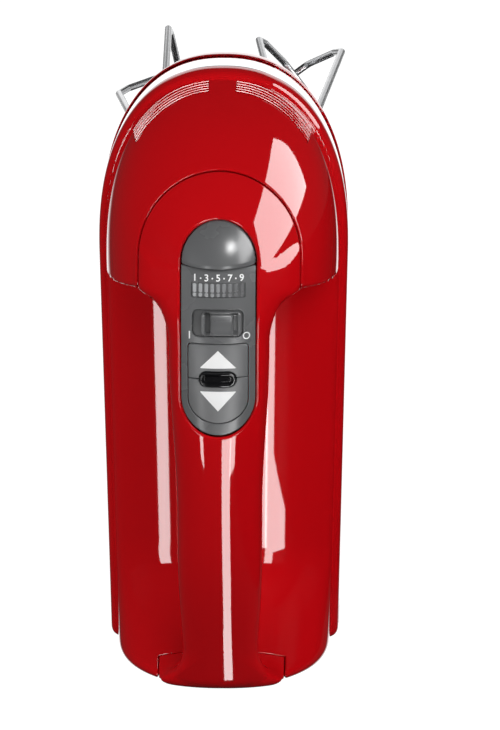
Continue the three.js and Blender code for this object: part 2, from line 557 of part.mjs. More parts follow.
function bearingBridge(z0, z1, extra) {
  return union([box(-12, MOTOR_Y - 12, z0 + 0.5, 12, MOTOR_Y + 12, z1 - 0.5), ...extra])
    .subtract(rodZ(0, MOTOR_Y, z0 - 20, z1 + 20, 8 + GAP, 8 + GAP, 20));
}
add('rear_bridge', bearingBridge(...BEARINGS.rear,
  [box(-33, MOTOR_Y + 6, 47.5, 33, MOTOR_Y + 12, 51.5)]), STEEL());

// ---------- gears, sockets and their frame ----------
const GEAR_Y = [15, 25];
const SOCKET_R = 7.5;
function gear(x, phase) {
  const points = [];
  const [rootR, tipR] = [-1.25, 1].map(k => GEAR_MODULE * (GEAR_TEETH / 2 + k));
  const step = 2 * Math.PI / GEAR_TEETH;
  for (let i = 0; i < GEAR_TEETH; i++) {
    const middle = (i + phase) * step;
    for (const [r, half] of [[rootR, -0.8], [tipR, -0.28], [tipR, 0.28], [rootR, 0.8]]) {
      points.push([r, middle + half / r]);
    }
  }
  const shape = shapeOf(points.map(([r, a]) => [r * Math.cos(a), r * Math.sin(a)]));
  shape.holes.push(circle(SOCKET_R + 0.1));
  return plate(shape, ...GEAR_Y).translate([x, 0, BEATER_Z]);
}
for (const [name, side] of [['left', -1], ['right', 1]]) {
  const x = side * BEATER_X;
  add(`${name}_gear`, gear(x, side < 0 ? 0 : 0.5), NYLON());
  const collar = tubeY(x, BEATER_Z, GEAR_Y[1] + GAP, GEAR_Y[1] + 2.5, SHAFT_R + 0.3, 9.5);
  add(`${name}_socket`,
    tubeY(x, BEATER_Z, 10, BASE_DEPTH + 2, SHAFT_R + 0.3, SOCKET_R).add(collar), STEEL());
  add(`${name}_bush`, tubeY(x, BEATER_Z, GEAR_Y[1] + 3, 36, SOCKET_R + 0.1, 10, 20), BRASS());
}
function gearFrame() {
  const plateY = [29.5, 34.5];
  const slab = box(-36, plateY[0], 138, 36, plateY[1], 192);
  const walls = [[BEARINGS.middle, 12], [BEARINGS.front, 9.4]].map(([[z0, z1], half]) =>
    box(-half, MOTOR_Y - 12, z0 + 0.5, half, plateY[1], z1 - 0.5));
  let frame = union([slab, ...walls]).intersect(loft(2, k => planRing([0, 60][k], 7.5, 5), PLAN_SIDES));
  frame = frame.subtract(rodZ(0, MOTOR_Y, 130, 200, 8 + GAP, 8 + GAP, 20))
    .subtract(rodZ(0, MOTOR_Y, WORM.z0 - 2, WORM.z1 + 2, WORM.crest + 0.6, WORM.crest + 0.6, 20));
  for (const x of [-BEATER_X, BEATER_X]) {
    frame = frame.subtract(rodY(x, BEATER_Z, 20, 50, 10 + GAP, 10 + GAP, 20));
  }
  for (const [x, z] of SCREWS) frame = frame.subtract(rodY(x, z, 20, 50, 6, 6, 12));
  return frame;
}
add('gear_frame', gearFrame(), STEEL());

// ---------- beaters ----------
const HUB_Y = 66;
// one wire loop: out along a straight leg, round the corner, in to the tip and back the other way
function beaterLoop(x, degrees, tip) {
  const heelR = 5.2;
  const start = HUB_Y + 8 + GAP;
  const corner = new THREE.Vector2(BEATER_R, 190);
  const half = [
    new THREE.Vector2(heelR, start), new THREE.Vector2(heelR + 1.2, start + 8),
    corner, new THREE.Vector2(BEATER_R - 3.4, 198.5), new THREE.Vector2(7, tip - 1.6),
    new THREE.Vector2(0, tip)];
  const flat = [...half, ...half.slice(0, -1).reverse().map(p => new THREE.Vector2(-p.x, p.y))];
  const turn = degrees * Math.PI / 180;
  const path = new THREE.CurvePath();
  const at = p => new THREE.Vector3(x + p.x * Math.cos(turn), p.y, BEATER_Z + p.x * Math.sin(turn));
  path.add(new THREE.CatmullRomCurve3(flat.map(at), false, 'centripetal'));
  return solid(new THREE.ExtrudeGeometry(wireShape(WIRE_R, 6),
    { steps: 34, bevelEnabled: false, extrudePath: path.curves[0] }));
}
for (const [name, side, degrees] of [['left', -1, 8], ['right', 1, 37]]) {
  const x = side * BEATER_X;
  add(`${name}_beater_shaft`, union([rodY(x, BEATER_Z, SHAFT_TOP_Y, HUB_Y + 1, SHAFT_R, SHAFT_R, 18),
    rodY(x, BEATER_Z, BASE_DEPTH + 3 + GAP, BASE_DEPTH + 6, 7.4, 7.4, 20),
    rodY(x, BEATER_Z, HUB_Y, HUB_Y + 8, 4.4, 7.2, 20)]), CHROME());
  add(`${name}_beater_loop_a`, beaterLoop(x, degrees, BEATER_TIP_Y), CHROME());
  add(`${name}_beater_loop_b`, beaterLoop(x, degrees + 90, BEATER_TIP_Y - 2 * WIRE_R - GAP), CHROME());
}

export default parts;
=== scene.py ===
"""Hand mixer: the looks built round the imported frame. Lengths in millimetres until a mesh is made."""
import json
import math
import bpy
import numpy as np
from mathutils import Matrix, Vector


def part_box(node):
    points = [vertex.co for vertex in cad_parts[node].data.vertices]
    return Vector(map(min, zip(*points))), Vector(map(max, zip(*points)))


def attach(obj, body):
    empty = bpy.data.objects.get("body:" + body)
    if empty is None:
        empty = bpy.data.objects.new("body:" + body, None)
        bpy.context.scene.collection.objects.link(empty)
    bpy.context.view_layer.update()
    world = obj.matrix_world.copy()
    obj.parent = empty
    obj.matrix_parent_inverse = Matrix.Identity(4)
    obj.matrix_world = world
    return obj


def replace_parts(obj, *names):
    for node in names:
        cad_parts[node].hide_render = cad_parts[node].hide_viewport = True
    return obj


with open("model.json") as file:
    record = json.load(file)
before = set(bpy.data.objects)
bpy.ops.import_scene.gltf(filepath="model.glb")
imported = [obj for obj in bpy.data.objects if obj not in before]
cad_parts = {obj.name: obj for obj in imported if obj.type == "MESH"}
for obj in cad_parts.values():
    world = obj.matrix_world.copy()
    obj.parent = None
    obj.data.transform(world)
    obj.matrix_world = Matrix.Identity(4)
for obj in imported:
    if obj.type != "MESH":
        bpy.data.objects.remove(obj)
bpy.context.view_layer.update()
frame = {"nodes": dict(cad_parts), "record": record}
MM = 0.001


def box(node):
    """A CAD node's lowest and highest corners, in millimetres."""
    low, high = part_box(node)
    return np.array(low) / MM, np.array(high) / MM


def middle_xz(node):
    """The middle of a CAD node's box, as x and z."""
    low, high = box(node)
    return (low[0] + high[0]) / 2, (low[2] + high[2]) / 2


def face_box(node):
    """A CAD node's extent seen from the front: x from and to, z from and to."""
    low, high = box(node)
    return low[0], high[0], low[2], high[2]


# ---------- driving dimensions, from the frame ----------
UPPER_HIGH = box("upper_housing")[1]
CROWN_HEIGHT = -box("handle_cover")[0][1]
NOSE_Z = UPPER_HIGH[2]                 # top of the rim at the nose
RIM_HALF = UPPER_HIGH[0]               # widest half width of the rim
SHOULDER_Z = 150.0                     # where the sides start to round into the nose
RIM_HALF_HEEL = RIM_HALF - 2.2         # half width of the rim at the heel
NOSE_POWER = 2.3                       # superellipse power of the nose in plan
RIM_STEP = 3.2                         # width of the rim strip outside the crease
CREASE = 7.0                           # height of the crease above the parting plane
ARCH_BASE = CREASE - 0.5
SECTION_POWER = 2.12                   # superellipse power of the dome across
DECK = 20.0                            # height of the deck under the handle
DECK_RISE, DECK_RISE_FROM = 36.0, 45.0  # how the deck climbs into the heel below this z
HANDLE_UNDER = 48.0                    # height of the handle's underside
DOME_REAR_Z = 151.0                    # where the dome ends and the deck starts
HEEL_LIFT = 3.4                        # how far the heel clears the table on the handle's side
DOME_REAR_DROP = 5.0                   # how much lower the dome's rear edge is at the crease
COVER_RADIUS = 27.5                    # the handle cover's round end on the dome
COVER_CENTRE_Z = 161.0
COVER_HEEL_HALF = 22.5                 # the cover's half width at the heel
HANDLE_END_Z = 160.0                   # the handle's upper end, hidden in the dome
HEEL_Z = 0.8                           # the housings stop here; the heel pad stands on z = 0
ROUND_POWER = 2.4                      # superellipse power of the rim and the handle in section
WALL = 1.8
SEAM = 0.16                            # half the gap between two mouldings
EDGE_ROLL = 0.5                        # radius of a moulding's rolled edge
PANEL_GAP = 0.35                       # from the panel's outline to the opening round it
BAND_LOW, BAND_HIGH = box("trim_band")
BASE_FLOOR = 55.0                      # underside of the lower housing, without its collars
BEATER_X, BEATER_Z = middle_xz("right_gear")
PANEL_HALF = box("control_bezel")[1][0]
PANEL_LOW_Z, PANEL_HIGH_Z = box("control_bezel")[0][2], box("control_bezel")[1][2]
PANEL_TOP_Z = PANEL_HIGH_Z - PANEL_HALF


# ---------- small numeric helpers ----------
def smin(a, b, k):
    """Minimum with a rounded join about k wide."""
    h = np.maximum(k - np.abs(a - b), 0) / k
    return np.minimum(a, b) - h * h * k / 4


def smax(a, b, k):
    """Maximum with a rounded join."""
    return -smin(-a, -b, k)


def smoothstep(low, high, v):
    t = np.clip((v - low) / (high - low), 0, 1)
    return t * t * (3 - 2 * t)


def spline(knots):
    """A natural cubic spline through (place, value) knots, as a function."""
    x, y = np.array(knots, float).T
    h = np.diff(x)
    n = len(x)
    a = np.eye(n)
    b = np.zeros(n)
    for i in range(1, n - 1):
        a[i, i - 1:i + 2] = h[i - 1], 2 * (h[i - 1] + h[i]), h[i]
        b[i] = 6 * ((y[i + 1] - y[i]) / h[i] - (y[i] - y[i - 1]) / h[i - 1])
    m = np.linalg.solve(a, b)

    def at(v):
        v = np.clip(v, x[0], x[-1])
        i = np.clip(np.searchsorted(x, v) - 1, 0, n - 2)
        left, right = v - x[i], x[i + 1] - v
        return ((m[i] * right ** 3 + m[i + 1] * left ** 3) / (6 * h[i])
                + (y[i] / h[i] - m[i] * h[i] / 6) * right
                + (y[i + 1] / h[i] - m[i + 1] * h[i] / 6) * left)
    return at


# ---------- the body as formulas; a height is -y ----------
crown = spline([(0, 57.2), (20, 63), (50, 71.2), (80, 75.5), (110, 76.7), (135, 75.2), (150, 72.2),
                (165, 66.3), (180, 54.6), (192, 41), (202, 26.2), (NOSE_Z - RIM_STEP, CREASE)])


def plan_half(z, inset=0.0):
    """Half width of the plan outline at z, moved in by inset."""
    t = np.clip((z - SHOULDER_Z) / (NOSE_Z - inset - SHOULDER_Z), 0, 1)
    nose = (RIM_HALF - inset) * np.power(1 - t ** NOSE_POWER, 1 / NOSE_POWER)
    side = RIM_HALF_HEEL + (RIM_HALF - RIM_HALF_HEEL) * np.minimum(z, SHOULDER_Z) / SHOULDER_Z - inset
    return np.where(z > SHOULDER_Z, nose, side)


def plan_depth(x, z):
    """How far inside the plan outline a point is."""
    a, b = RIM_HALF, NOSE_Z - SHOULDER_Z
    up = np.maximum(z - SHOULDER_Z, 0)
    ratio = ((np.abs(x) / a) ** NOSE_POWER + (up / b) ** NOSE_POWER) ** (1 / NOSE_POWER)
    reach = np.hypot(x, up)
    nose = reach / np.maximum(ratio, 1e-6) - reach
    return np.where(z > SHOULDER_Z, nose, plan_half(z) - np.abs(x))


def radial(x, y, half_x, half_y, p):
    """Signed distance, roughly, to a superellipse about the origin."""
    ratio = ((np.abs(x) / half_x) ** p + (np.abs(y) / half_y) ** p) ** (1 / p)
    reach = np.hypot(x, y) + 1e-6
    return reach - reach / np.maximum(ratio, 1e-6)


def deck_crown(z):
    """Height of the deck along its middle: flat, then climbing into the heel."""
    rise = DECK + DECK_RISE * np.clip((DECK_RISE_FROM - z) / 38, 0, None) ** 2.4
    return smin(rise, crown(z) - 0.8, 5)


def arch(x, h, z, top):
    """Distance to the arched section that spans the creases and reaches top."""
    half = np.maximum(plan_half(z, RIM_STEP), 0.05)
    rise = np.maximum(h - ARCH_BASE, 0)
    return radial(x, rise, half, np.maximum(top - ARCH_BASE, 0.3), SECTION_POWER)


def handle_half(z):
    """Half width of the handle: wider under the panel and where it meets the heel."""
    flare = 2.2 * (np.clip(z - 133, 0, 19) / 11) ** 2
    foot = 6.5 * np.clip((20 - z) / 15, 0, 1) ** 2
    return 14.6 + 2.3 * smoothstep(75, 130, z) - 1.5 * (1 - smoothstep(14, 52, z)) + flare + foot


def upper_field(x, y, z):
    """Negative inside the upper body: rim, deck, dome, handle and heel."""
    h = -y
    top = crown(z)
    depth = plan_depth(x, z)
    inner = -smax(-depth, HEEL_Z - z, 4)
    out = np.maximum(RIM_STEP - inner, 0) / RIM_STEP
    up = np.maximum(h, 0) / CREASE
    rim = ((out ** ROUND_POWER + up ** ROUND_POWER) ** (1 / ROUND_POWER) - 1) * 5
    rim = np.maximum(rim, HEEL_Z - z)
    room = plan_half(z, RIM_STEP) - np.abs(x)
    base = np.maximum(arch(x, h, z, deck_crown(z)), z - DOME_REAR_Z - 6)
    rear = DOME_REAR_Z - DOME_REAR_DROP * (np.abs(x) / 40) ** 4
    dome = smax(arch(x, h, z, top), rear - z, 0.9 + 2.6 * smoothstep(3, 16, room))
    dome = smax(dome, z - (NOSE_Z - RIM_STEP), 1)
    middle = (top + HANDLE_UNDER) / 2
    handle = radial(x, h - middle, handle_half(z), np.maximum(top - middle, 1), ROUND_POWER)
    handle = np.maximum(handle, z - HANDLE_END_Z)
    foot = smoothstep(60, 100, z)
    below = smoothstep(1, 6 + 9 * foot, top - h)
    roof = smax(handle, arch(x, h, z, top), 0.05 + 2.5 * smoothstep(1, 8, top - h))
    wide_ends = (z > 120) | (z < 30)   # where the handle flares, it stays under the arch
    handle = np.where(wide_ends, roof, handle)
    shell = smin(base, dome, 0.3 + 11 * smoothstep(1, 12, room))
    shell = smin(shell, handle, 0.4 + below * (8 * foot + 9 * (1 - foot)))
    shell = smax(shell, HEEL_LIFT * smoothstep(16, 58, h) - z, 5)
    return smin(shell, rim, 0.7)


def cover_field(x, y, z):
    """Negative where the surface belongs to the handle cover."""
    h = -y
    disc = np.hypot(x, np.maximum(z - COVER_CENTRE_Z, 0)) - COVER_RADIUS
    disc = np.maximum(disc, DOME_REAR_Z - 2 - z)
    parting = np.interp(z, [-5, 10, 22, 60, 124, 150], [42, 42, 50, 59.5, 61, 60])
    grip = np.maximum(np.abs(x) - COVER_HEEL_HALF, parting - h)
    grip = np.maximum(grip, z - DOME_REAR_Z)
    return np.minimum(disc, grip)


def panel_field(x, z, grow=0.0):
    """Negative inside the control panel's outline."""
    half = PANEL_HALF + grow
    rise = 118 - PANEL_LOW_Z + grow
    up = np.hypot(x, np.maximum(z - PANEL_TOP_Z, 0)) - half
    down = radial(x, np.minimum(z - 118, 0), half, rise, 2)
    return np.where(z > 118, up, down)


def gradient(field, p, step=0.02):
    """A field's slope at points, by central differences."""
    g = np.empty_like(p)
    for k in range(3):
        d = np.zeros(3)
        d[k] = step
        g[:, k] = (field(*(p + d).T) - field(*(p - d).T)) / (2 * step)
    return g


def project(field, p, rounds=5):
    """The points, moved onto a field's zero level by Newton steps."""
    for _ in range(rounds):
        g = gradient(field, p)
        f = field(*p.T)
        move = f / np.maximum((g * g).sum(1), 1e-3)
        p = p - g * np.clip(move, -1.5, 1.5)[:, None]
    return p


def unit(v):
    return v / np.maximum(np.linalg.norm(v, axis=1, keepdims=True), 1e-9)


# ---------- meshing a field ----------
def surface_net(field, low, high, step):
    """Closed quads round the field's zero level, as vertices and triangles."""
    low = np.array(low, float)
    counts = np.ceil((np.array(high) - low) / step).astype(int) + 1
    axes = [low[k] + step * np.arange(counts[k]) for k in range(3)]
    grid = np.meshgrid(*axes, indexing="ij")
    values = field(*grid)
    inside = values < 0
    cells = tuple(counts - 1)
    total = np.zeros(cells + (3,))
    hits = np.zeros(cells)
    for axis in range(3):
        for a in (0, 1):
            for b in (0, 1):
                shift = [a, b]
                shift.insert(axis, 0)
                first = tuple(slice(s, s + c) for s, c in zip(shift, cells))
                shift[axis] = 1
                second = tuple(slice(s, s + c) for s, c in zip(shift, cells))
                v0, v1 = values[first], values[second]
                cross = inside[first] != inside[second]
                t = np.where(cross, v0 / np.where(cross, v0 - v1, 1), 0)
                for k in range(3):
                    at = grid[k][first] + (t * step if k == axis else 0)
                    total[..., k] += np.where(cross, at, 0)
                hits += cross
    active = hits > 0
    index = np.full(cells, -1)
    index[active] = np.arange(active.sum())
    points = total[active] / hits[active][:, None]
    triangles = []
    for axis in range(3):
        u, v = [k for k in range(3) if k != axis]
        here = [slice(1, c) for c in cells]
        here[axis] = slice(0, cells[axis])
        nxt = list(here)
        nxt[axis] = slice(1, cells[axis] + 1)
        a, b = inside[tuple(here)], inside[tuple(nxt)]
        where = np.argwhere(a != b)
        start = a[a != b]
        offset = np.array([0 if k == axis else 1 for k in range(3)])
        place = where + offset
        corners = []
        for du, dv in ((1, 1), (0, 1), (0, 0), (1, 0)):
            cell = place.copy()
            cell[:, u] -= du
            cell[:, v] -= dv
            corners.append(index[tuple(cell.T)])
        quad = np.stack(corners, 1)
        flip = start == (axis == 1)
        quad[flip] = quad[flip][:, ::-1]
        triangles.append(quad[:, [0, 1, 2]])
        triangles.append(quad[:, [0, 2, 3]])
    return points, np.concatenate(triangles)


def cut(points, triangles, values):
    """Splits the triangles along the zero level of values, one number per vertex."""
    values = np.where(np.abs(values) < 1e-5, 1e-5, values)
    side = values > 0
    crossed = (side[triangles].sum(1) % 3) != 0
    made, extra = {}, []
    count = len(points)

    def crossing(i, j):
        key = (min(i, j), max(i, j))
        if key not in made:
            t = values[key[0]] / (values[key[0]] - values[key[1]])
            extra.append(points[key[0]] + t * (points[key[1]] - points[key[0]]))
            made[key] = count + len(extra) - 1
        return made[key]

    new = []
    for tri in triangles[crossed]:
        lone = [k for k in range(3) if (side[tri] == side[tri[k]]).sum() == 1][0]
        a, b, c = tri[lone], tri[(lone + 1) % 3], tri[(lone + 2) % 3]
        ab, ca = crossing(a, b), crossing(c, a)
        new += [(a, ab, ca), (ab, b, c), (ab, c, ca)]
    if not extra:
        return points, triangles
    points = np.vstack([points, extra])
    return points, np.vstack([triangles[~crossed], new])


def keep(points, triangles, mask):
    """The triangles that mask picks, with only the vertices they use."""
    triangles = triangles[mask]
    used, index = np.unique(triangles, return_inverse=True)
    return points[used], index.reshape(-1, 3)


def shell_mesh(outer, inner, triangles):
    """A closed skin between two surfaces with the same triangles."""
    n = len(outer)
    edges = np.vstack([triangles[:, [0, 1]], triangles[:, [1, 2]], triangles[:, [2, 0]]])
    keys = np.sort(edges, 1)
    _, first, times = np.unique(keys, axis=0, return_index=True, return_counts=True)
    rim = edges[first[times == 1]]
    faces = [triangles, triangles[:, ::-1] + n,
             np.stack([rim[:, 1], rim[:, 0], rim[:, 0] + n], 1),
             np.stack([rim[:, 1], rim[:, 0] + n, rim[:, 1] + n], 1)]
    return np.vstack([outer, inner]), np.vstack(faces)


def mesh_object(name, points, faces, material, body, normals=None, sharp=38):
    mesh = bpy.data.meshes.new(name)
    mesh.from_pydata((np.asarray(points) * MM).tolist(), [], [[int(i) for i in face] for face in faces])
    mesh.validate()
    mesh.update()
    for polygon in mesh.polygons:
        polygon.use_smooth = True
    if normals is not None and len(mesh.vertices) == len(normals):
        mesh.normals_split_custom_set_from_vertices(normals.tolist())
    else:
        mesh.set_sharp_from_angle(angle=math.radians(sharp))
    piece = bpy.data.objects.new(name, mesh)
    bpy.context.collection.objects.link(piece)
    mesh.materials.append(material)
    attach(piece, body)
    return piece


def grid_faces(rows, columns):
    """Quads between rows of points, with each row closed into a ring."""
    faces = []
    for i in range(rows - 1):
        for j in range(columns):
            k = (j + 1) % columns
            faces.append((i * columns + j, i * columns + k, (i + 1) * columns + k, (i + 1) * columns + j))
    return faces


def rolled(t, radius):
    """How far a rolled edge has dropped, t of its radius in from the edge."""
    return radius * (1 - np.sqrt(np.clip(1 - (1 - t) ** 2, 0, 1)))


def moulding(name, points, triangles, levels):
    """A red skin of the upper body whose cut edges are rolled in; levels gives each vertex's
    distance from the nearest cut and the direction towards it."""
    normal = unit(gradient(upper_field, points))
    away, direction = levels(points)
    t = np.clip(away / EDGE_ROLL, 0, 1)
    drop = rolled(t, EDGE_ROLL)
    towards = direction - (direction * normal).sum(1, keepdims=True) * normal
    tilt = np.clip(1 - t, 0, 1)[:, None]
    outer = points - normal * drop[:, None]
    shown = unit(normal * np.sqrt(np.clip(1 - tilt ** 2, 0, 1)) + unit(towards) * tilt)
    skin, faces = shell_mesh(outer, points - normal * WALL, triangles)
    return mesh_object(name, skin, faces, RED, "housing", np.vstack([shown, -normal]))


# ---------- materials ----------
def node_material(name):
    material = bpy.data.materials.new(name)
    material.use_nodes = True
    tree = material.node_tree
    shader = tree.nodes["Principled BSDF"]
    return material, tree, shader


def noise(tree, scale, detail=3.0):
    """Cloudy grey between 0 and 1, in the piece's own metres."""
    place = tree.nodes.new("ShaderNodeTexCoord")
    node = tree.nodes.new("ShaderNodeTexNoise")
    node.inputs["Scale"].default_value = scale
    node.inputs["Detail"].default_value = detail
    tree.links.new(place.outputs["Object"], node.inputs["Vector"])
    return node.outputs["Fac"]


def mapped(tree, value, low, high):
    node = tree.nodes.new("ShaderNodeMapRange")
    node.inputs["To Min"].default_value = low
    node.inputs["To Max"].default_value = high
    tree.links.new(value, node.inputs["Value"])
    return node.outputs["Result"]


def mixed(tree, value, low, high):
    node = tree.nodes.new("ShaderNodeMix")
    node.data_type = "RGBA"
    node.inputs["A"].default_value = (*low, 1)
    node.inputs["B"].default_value = (*high, 1)
    tree.links.new(value, node.inputs["Factor"])
    return node.outputs["Result"]


def bump(tree, shader, value, strength, distance):
    node = tree.nodes.new("ShaderNodeBump")
    node.inputs["Strength"].default_value = strength
    node.inputs["Distance"].default_value = distance
    tree.links.new(value, node.inputs["Height"])
    tree.links.new(node.outputs["Normal"], shader.inputs["Normal"])


def surface(name, low, high, rough, tone_scale=60, grain=(1500, 0.1, 0.00002), metallic=0.0,
            coat=0.0, coat_rough=0.03):
    """A moulded or machined surface: two tones, a varying roughness and a fine grain."""
    material, tree, shader = node_material(name)
    tree.links.new(mixed(tree, noise(tree, tone_scale), low, high), shader.inputs["Base Color"])
    tree.links.new(mapped(tree, noise(tree, tone_scale * 2.3), *rough), shader.inputs["Roughness"])
    scale, strength, distance = grain
    bump(tree, shader, noise(tree, scale, 2.0), strength, distance)
    shader.inputs["Metallic"].default_value = metallic
    shader.inputs["Coat Weight"].default_value = coat
    shader.inputs["Coat Roughness"].default_value = coat_rough
    return material


def graded(name, left, right, start, end):
    """Moulded grey that darkens from one x to another."""
    material, tree, shader = node_material(name)
    place = tree.nodes.new("ShaderNodeTexCoord")
    split = tree.nodes.new("ShaderNodeSeparateXYZ")
    tree.links.new(place.outputs["Object"], split.inputs["Vector"])
    across = tree.nodes.new("ShaderNodeMapRange")
    across.inputs["From Min"].default_value = start
    across.inputs["From Max"].default_value = end
    tree.links.new(split.outputs["X"], across.inputs["Value"])
    tree.links.new(mixed(tree, across.outputs["Result"], left, right), shader.inputs["Base Color"])
    tree.links.new(mapped(tree, noise(tree, 900), 0.2, 0.32), shader.inputs["Roughness"])
    bump(tree, shader, noise(tree, 2600, 2.0), 0.1, 0.00002)
    return material


RED = surface("red_lacquer", (0.47, 0.0022, 0.0045), (0.53, 0.003, 0.006), (0.03, 0.05), 14,
              (260, 0.02, 0.00002), coat=0.25, coat_rough=0.02)
GREY = surface("satin_grey", (0.105, 0.107, 0.11), (0.125, 0.127, 0.13), (0.24, 0.3), 40,
               (2600, 0.12, 0.00002))
GREY_SOFT = surface("satin_grey_keys", (0.115, 0.117, 0.12), (0.135, 0.137, 0.14), (0.34, 0.42), 40,
                    (2600, 0.15, 0.00002))
# Darker grey with painted shade: the knob's left groove and the slot floor round the knob are coloured
# darker to stand in for their shade.
GREY_SHADE = surface("satin_grey_painted_shade", (0.06, 0.061, 0.063), (0.075, 0.076, 0.078), (0.28, 0.36), 40,
                    (2600, 0.12, 0.00002))
RIBS = graded("display_ribs_grey", (0.40, 0.41, 0.42), (0.13, 0.132, 0.135), -0.008, 0.007)
INK = surface("white_ink", (0.82, 0.82, 0.82), (0.88, 0.88, 0.88), (0.4, 0.5), 200)
BLACK = surface("black_gloss", (0.006, 0.006, 0.007), (0.01, 0.01, 0.011), (0.05, 0.09), 60)
BLACK_SATIN = surface("black_moulding", (0.015, 0.015, 0.016), (0.024, 0.024, 0.025), (0.4, 0.5), 80,
                      (2400, 0.2, 0.00003))
CHROME = surface("bright_chrome", (0.80, 0.81, 0.83), (0.86, 0.87, 0.89), (0.03, 0.07), 50,
                 (700, 0.02, 0.00002), metallic=1.0)
WIRE = surface("wire_chrome", (0.44, 0.445, 0.455), (0.56, 0.565, 0.575), (0.16, 0.28), 90,
               (1400, 0.06, 0.00002), metallic=1.0)
RUBBER = surface("heel_rubber", (0.018, 0.018, 0.019), (0.03, 0.03, 0.031), (0.65, 0.8), 120,
                 (1800, 0.4, 0.00006))
STEEL = surface("machined_steel", (0.42, 0.43, 0.44), (0.55, 0.56, 0.57), (0.25, 0.4), 90,
                (900, 0.15, 0.00003), metallic=1.0)
BY_SLOT = {
    "red_gloss": RED, "grey_satin": GREY, "black_gloss": BLACK, "black_plastic": BLACK_SATIN,
    "trim_chrome": CHROME, "beater_chrome": WIRE, "steel": STEEL, "heel_rubber": RUBBER,
    "copper_wire": surface("enamelled_copper", (0.42, 0.13, 0.04), (0.6, 0.2, 0.07), (0.2, 0.35), 300,
                           (2200, 0.5, 0.0001), metallic=0.9),
    "brass": surface("turned_brass", (0.55, 0.4, 0.15), (0.66, 0.5, 0.22), (0.2, 0.35), 120, metallic=1.0),
    "nylon": surface("white_nylon", (0.62, 0.6, 0.52), (0.7, 0.68, 0.6), (0.4, 0.5), 60),
    "circuit_board": surface("board_green", (0.01, 0.09, 0.035), (0.015, 0.12, 0.05), (0.3, 0.4), 200),
    "carbon": surface("pressed_carbon", (0.02, 0.02, 0.02), (0.04, 0.04, 0.04), (0.6, 0.8), 300),
}

slot_of = {entry["node"]: entry["material_slot"] for entry in frame["record"]["subparts"]}
for node, cad_object in frame["nodes"].items():
    finish = BY_SLOT[slot_of[node]]
    if cad_object.data.materials:
        for i in range(len(cad_object.data.materials)):
            cad_object.material_slots[i].material = finish
    else:
        cad_object.data.materials.append(finish)


# ---------- the red mouldings ----------
def top_height(x, z, low=30.0):
    """Height of the upper body's outer surface over (x, z), found by stepping down onto it."""
    x, z = np.broadcast_arrays(np.asarray(x, float), np.asarray(z, float))
    h = np.full(x.shape, CROWN_HEIGHT + 4.0)
    for _ in range(40):
        h = np.maximum(h - np.clip(upper_field(x, -h, z) * 0.7, -2, 2), low)
    return h


VENT_DEPTH = (0.3, 3.1)                # from and to, inside the crease
VENT_ANGLE = (4.5, 35.0)               # from and to, in degrees round the nose
VENT_SLATS = 5
VENT_STEPS = ((0.0, 0.0), (0.22, 0.0), (0.45, 0.0), (0.52, 0.4), (0.6, 0.4))  # part of a slat, sink


def vent_field(x, z):
    """Negative inside the two slotted fields near the crease."""
    depth = plan_depth(x, z) - RIM_STEP
    angle = np.degrees(np.arctan2(np.abs(x), z - SHOULDER_Z))
    across = np.abs(depth - sum(VENT_DEPTH) / 2) - (VENT_DEPTH[1] - VENT_DEPTH[0]) / 2
    along = (np.abs(angle - sum(VENT_ANGLE) / 2) - (VENT_ANGLE[1] - VENT_ANGLE[0]) / 2) * 1.05
    return np.where(z > SHOULDER_Z, np.maximum(across, along), 50)


CREASE_CUTS = (-0.6, -0.2, 0.2, 0.6)   # extra mesh lines along the crease between rim and dome


def build_red_shell():
    """The upper housing and the handle cover, parted along their seam."""
    step = 1.1
    low = (-RIM_HALF - 2, -CROWN_HEIGHT - 3, -1.5)
    high = (RIM_HALF + 2, 2.5, NOSE_Z + 2)
    points, triangles = surface_net(upper_field, low, high, step)
    for level in CREASE_CUTS:
        across = plan_depth(points[:, 0], points[:, 2]) - RIM_STEP
        points, triangles = cut(points, triangles, across - level)
    points = project(upper_field, points)
    rows = (0.0, 0.12, 0.3, 0.55, 0.85)  # mesh lines that shape each rolled edge

    def seam(p):
        return cover_field(*p.T)

    def opening(p):
        return np.where(p[:, 1] < -52, panel_field(p[:, 0], p[:, 2], PANEL_GAP), 50.0)

    def vents(p):
        return np.where(p[:, 1] < -3, vent_field(p[:, 0], p[:, 2]), 50.0)

    cuts = [(lambda p: p[:, 1] + 0.15, [0.0]), (seam, [s * (SEAM + r) for r in rows for s in (-1, 1)]),
            (opening, rows), (vents, rows[:2])]
    for field, levels in cuts:
        for level in levels:
            points, triangles = cut(points, triangles, field(points) - level)
    middle = points[triangles].mean(1)
    open_side = (middle[:, 1] < -0.15) & (opening(middle) > 0) & (vents(middle) > 0)
    covered = seam(middle)

    def edges(side):
        def levels(p):
            best = np.full(len(p), 9.0)
            direction = np.zeros((len(p), 3))
            for field in (seam, opening):
                value = field(p)
                away = side * value - SEAM if field is seam else 0.6 * value
                slope = unit(gradient(lambda x, y, z: field(np.stack([x, y, z], 1)), p, 0.05))
                towards = -slope * (side if field is seam else 1)
                nearer = away < best
                best = np.where(nearer, away, best)
                direction[nearer] = towards[nearer]
            return np.maximum(best, 0), direction
        return levels

    housing = keep(points, triangles, open_side & (covered > SEAM))
    cover = keep(points, triangles, open_side & (covered < -SEAM))
    for name, (p, t), side, node in (("upper_moulding", housing, 1, "upper_housing"),
                                     ("handle_cover_moulding", cover, -1, "handle_cover")):
        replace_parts(moulding(name, p, t, edges(side)), node)


def vent_point(angle, depth):
    """The plan point at an angle round the nose, a depth inside the crease."""
    reach = RIM_HALF * np.ones_like(angle)
    for _ in range(30):
        x, z = reach * np.sin(angle), SHOULDER_Z + reach * np.cos(angle)
        reach = reach + plan_depth(x, z) - RIM_STEP - depth
    return reach * np.sin(angle), SHOULDER_Z + reach * np.cos(angle)


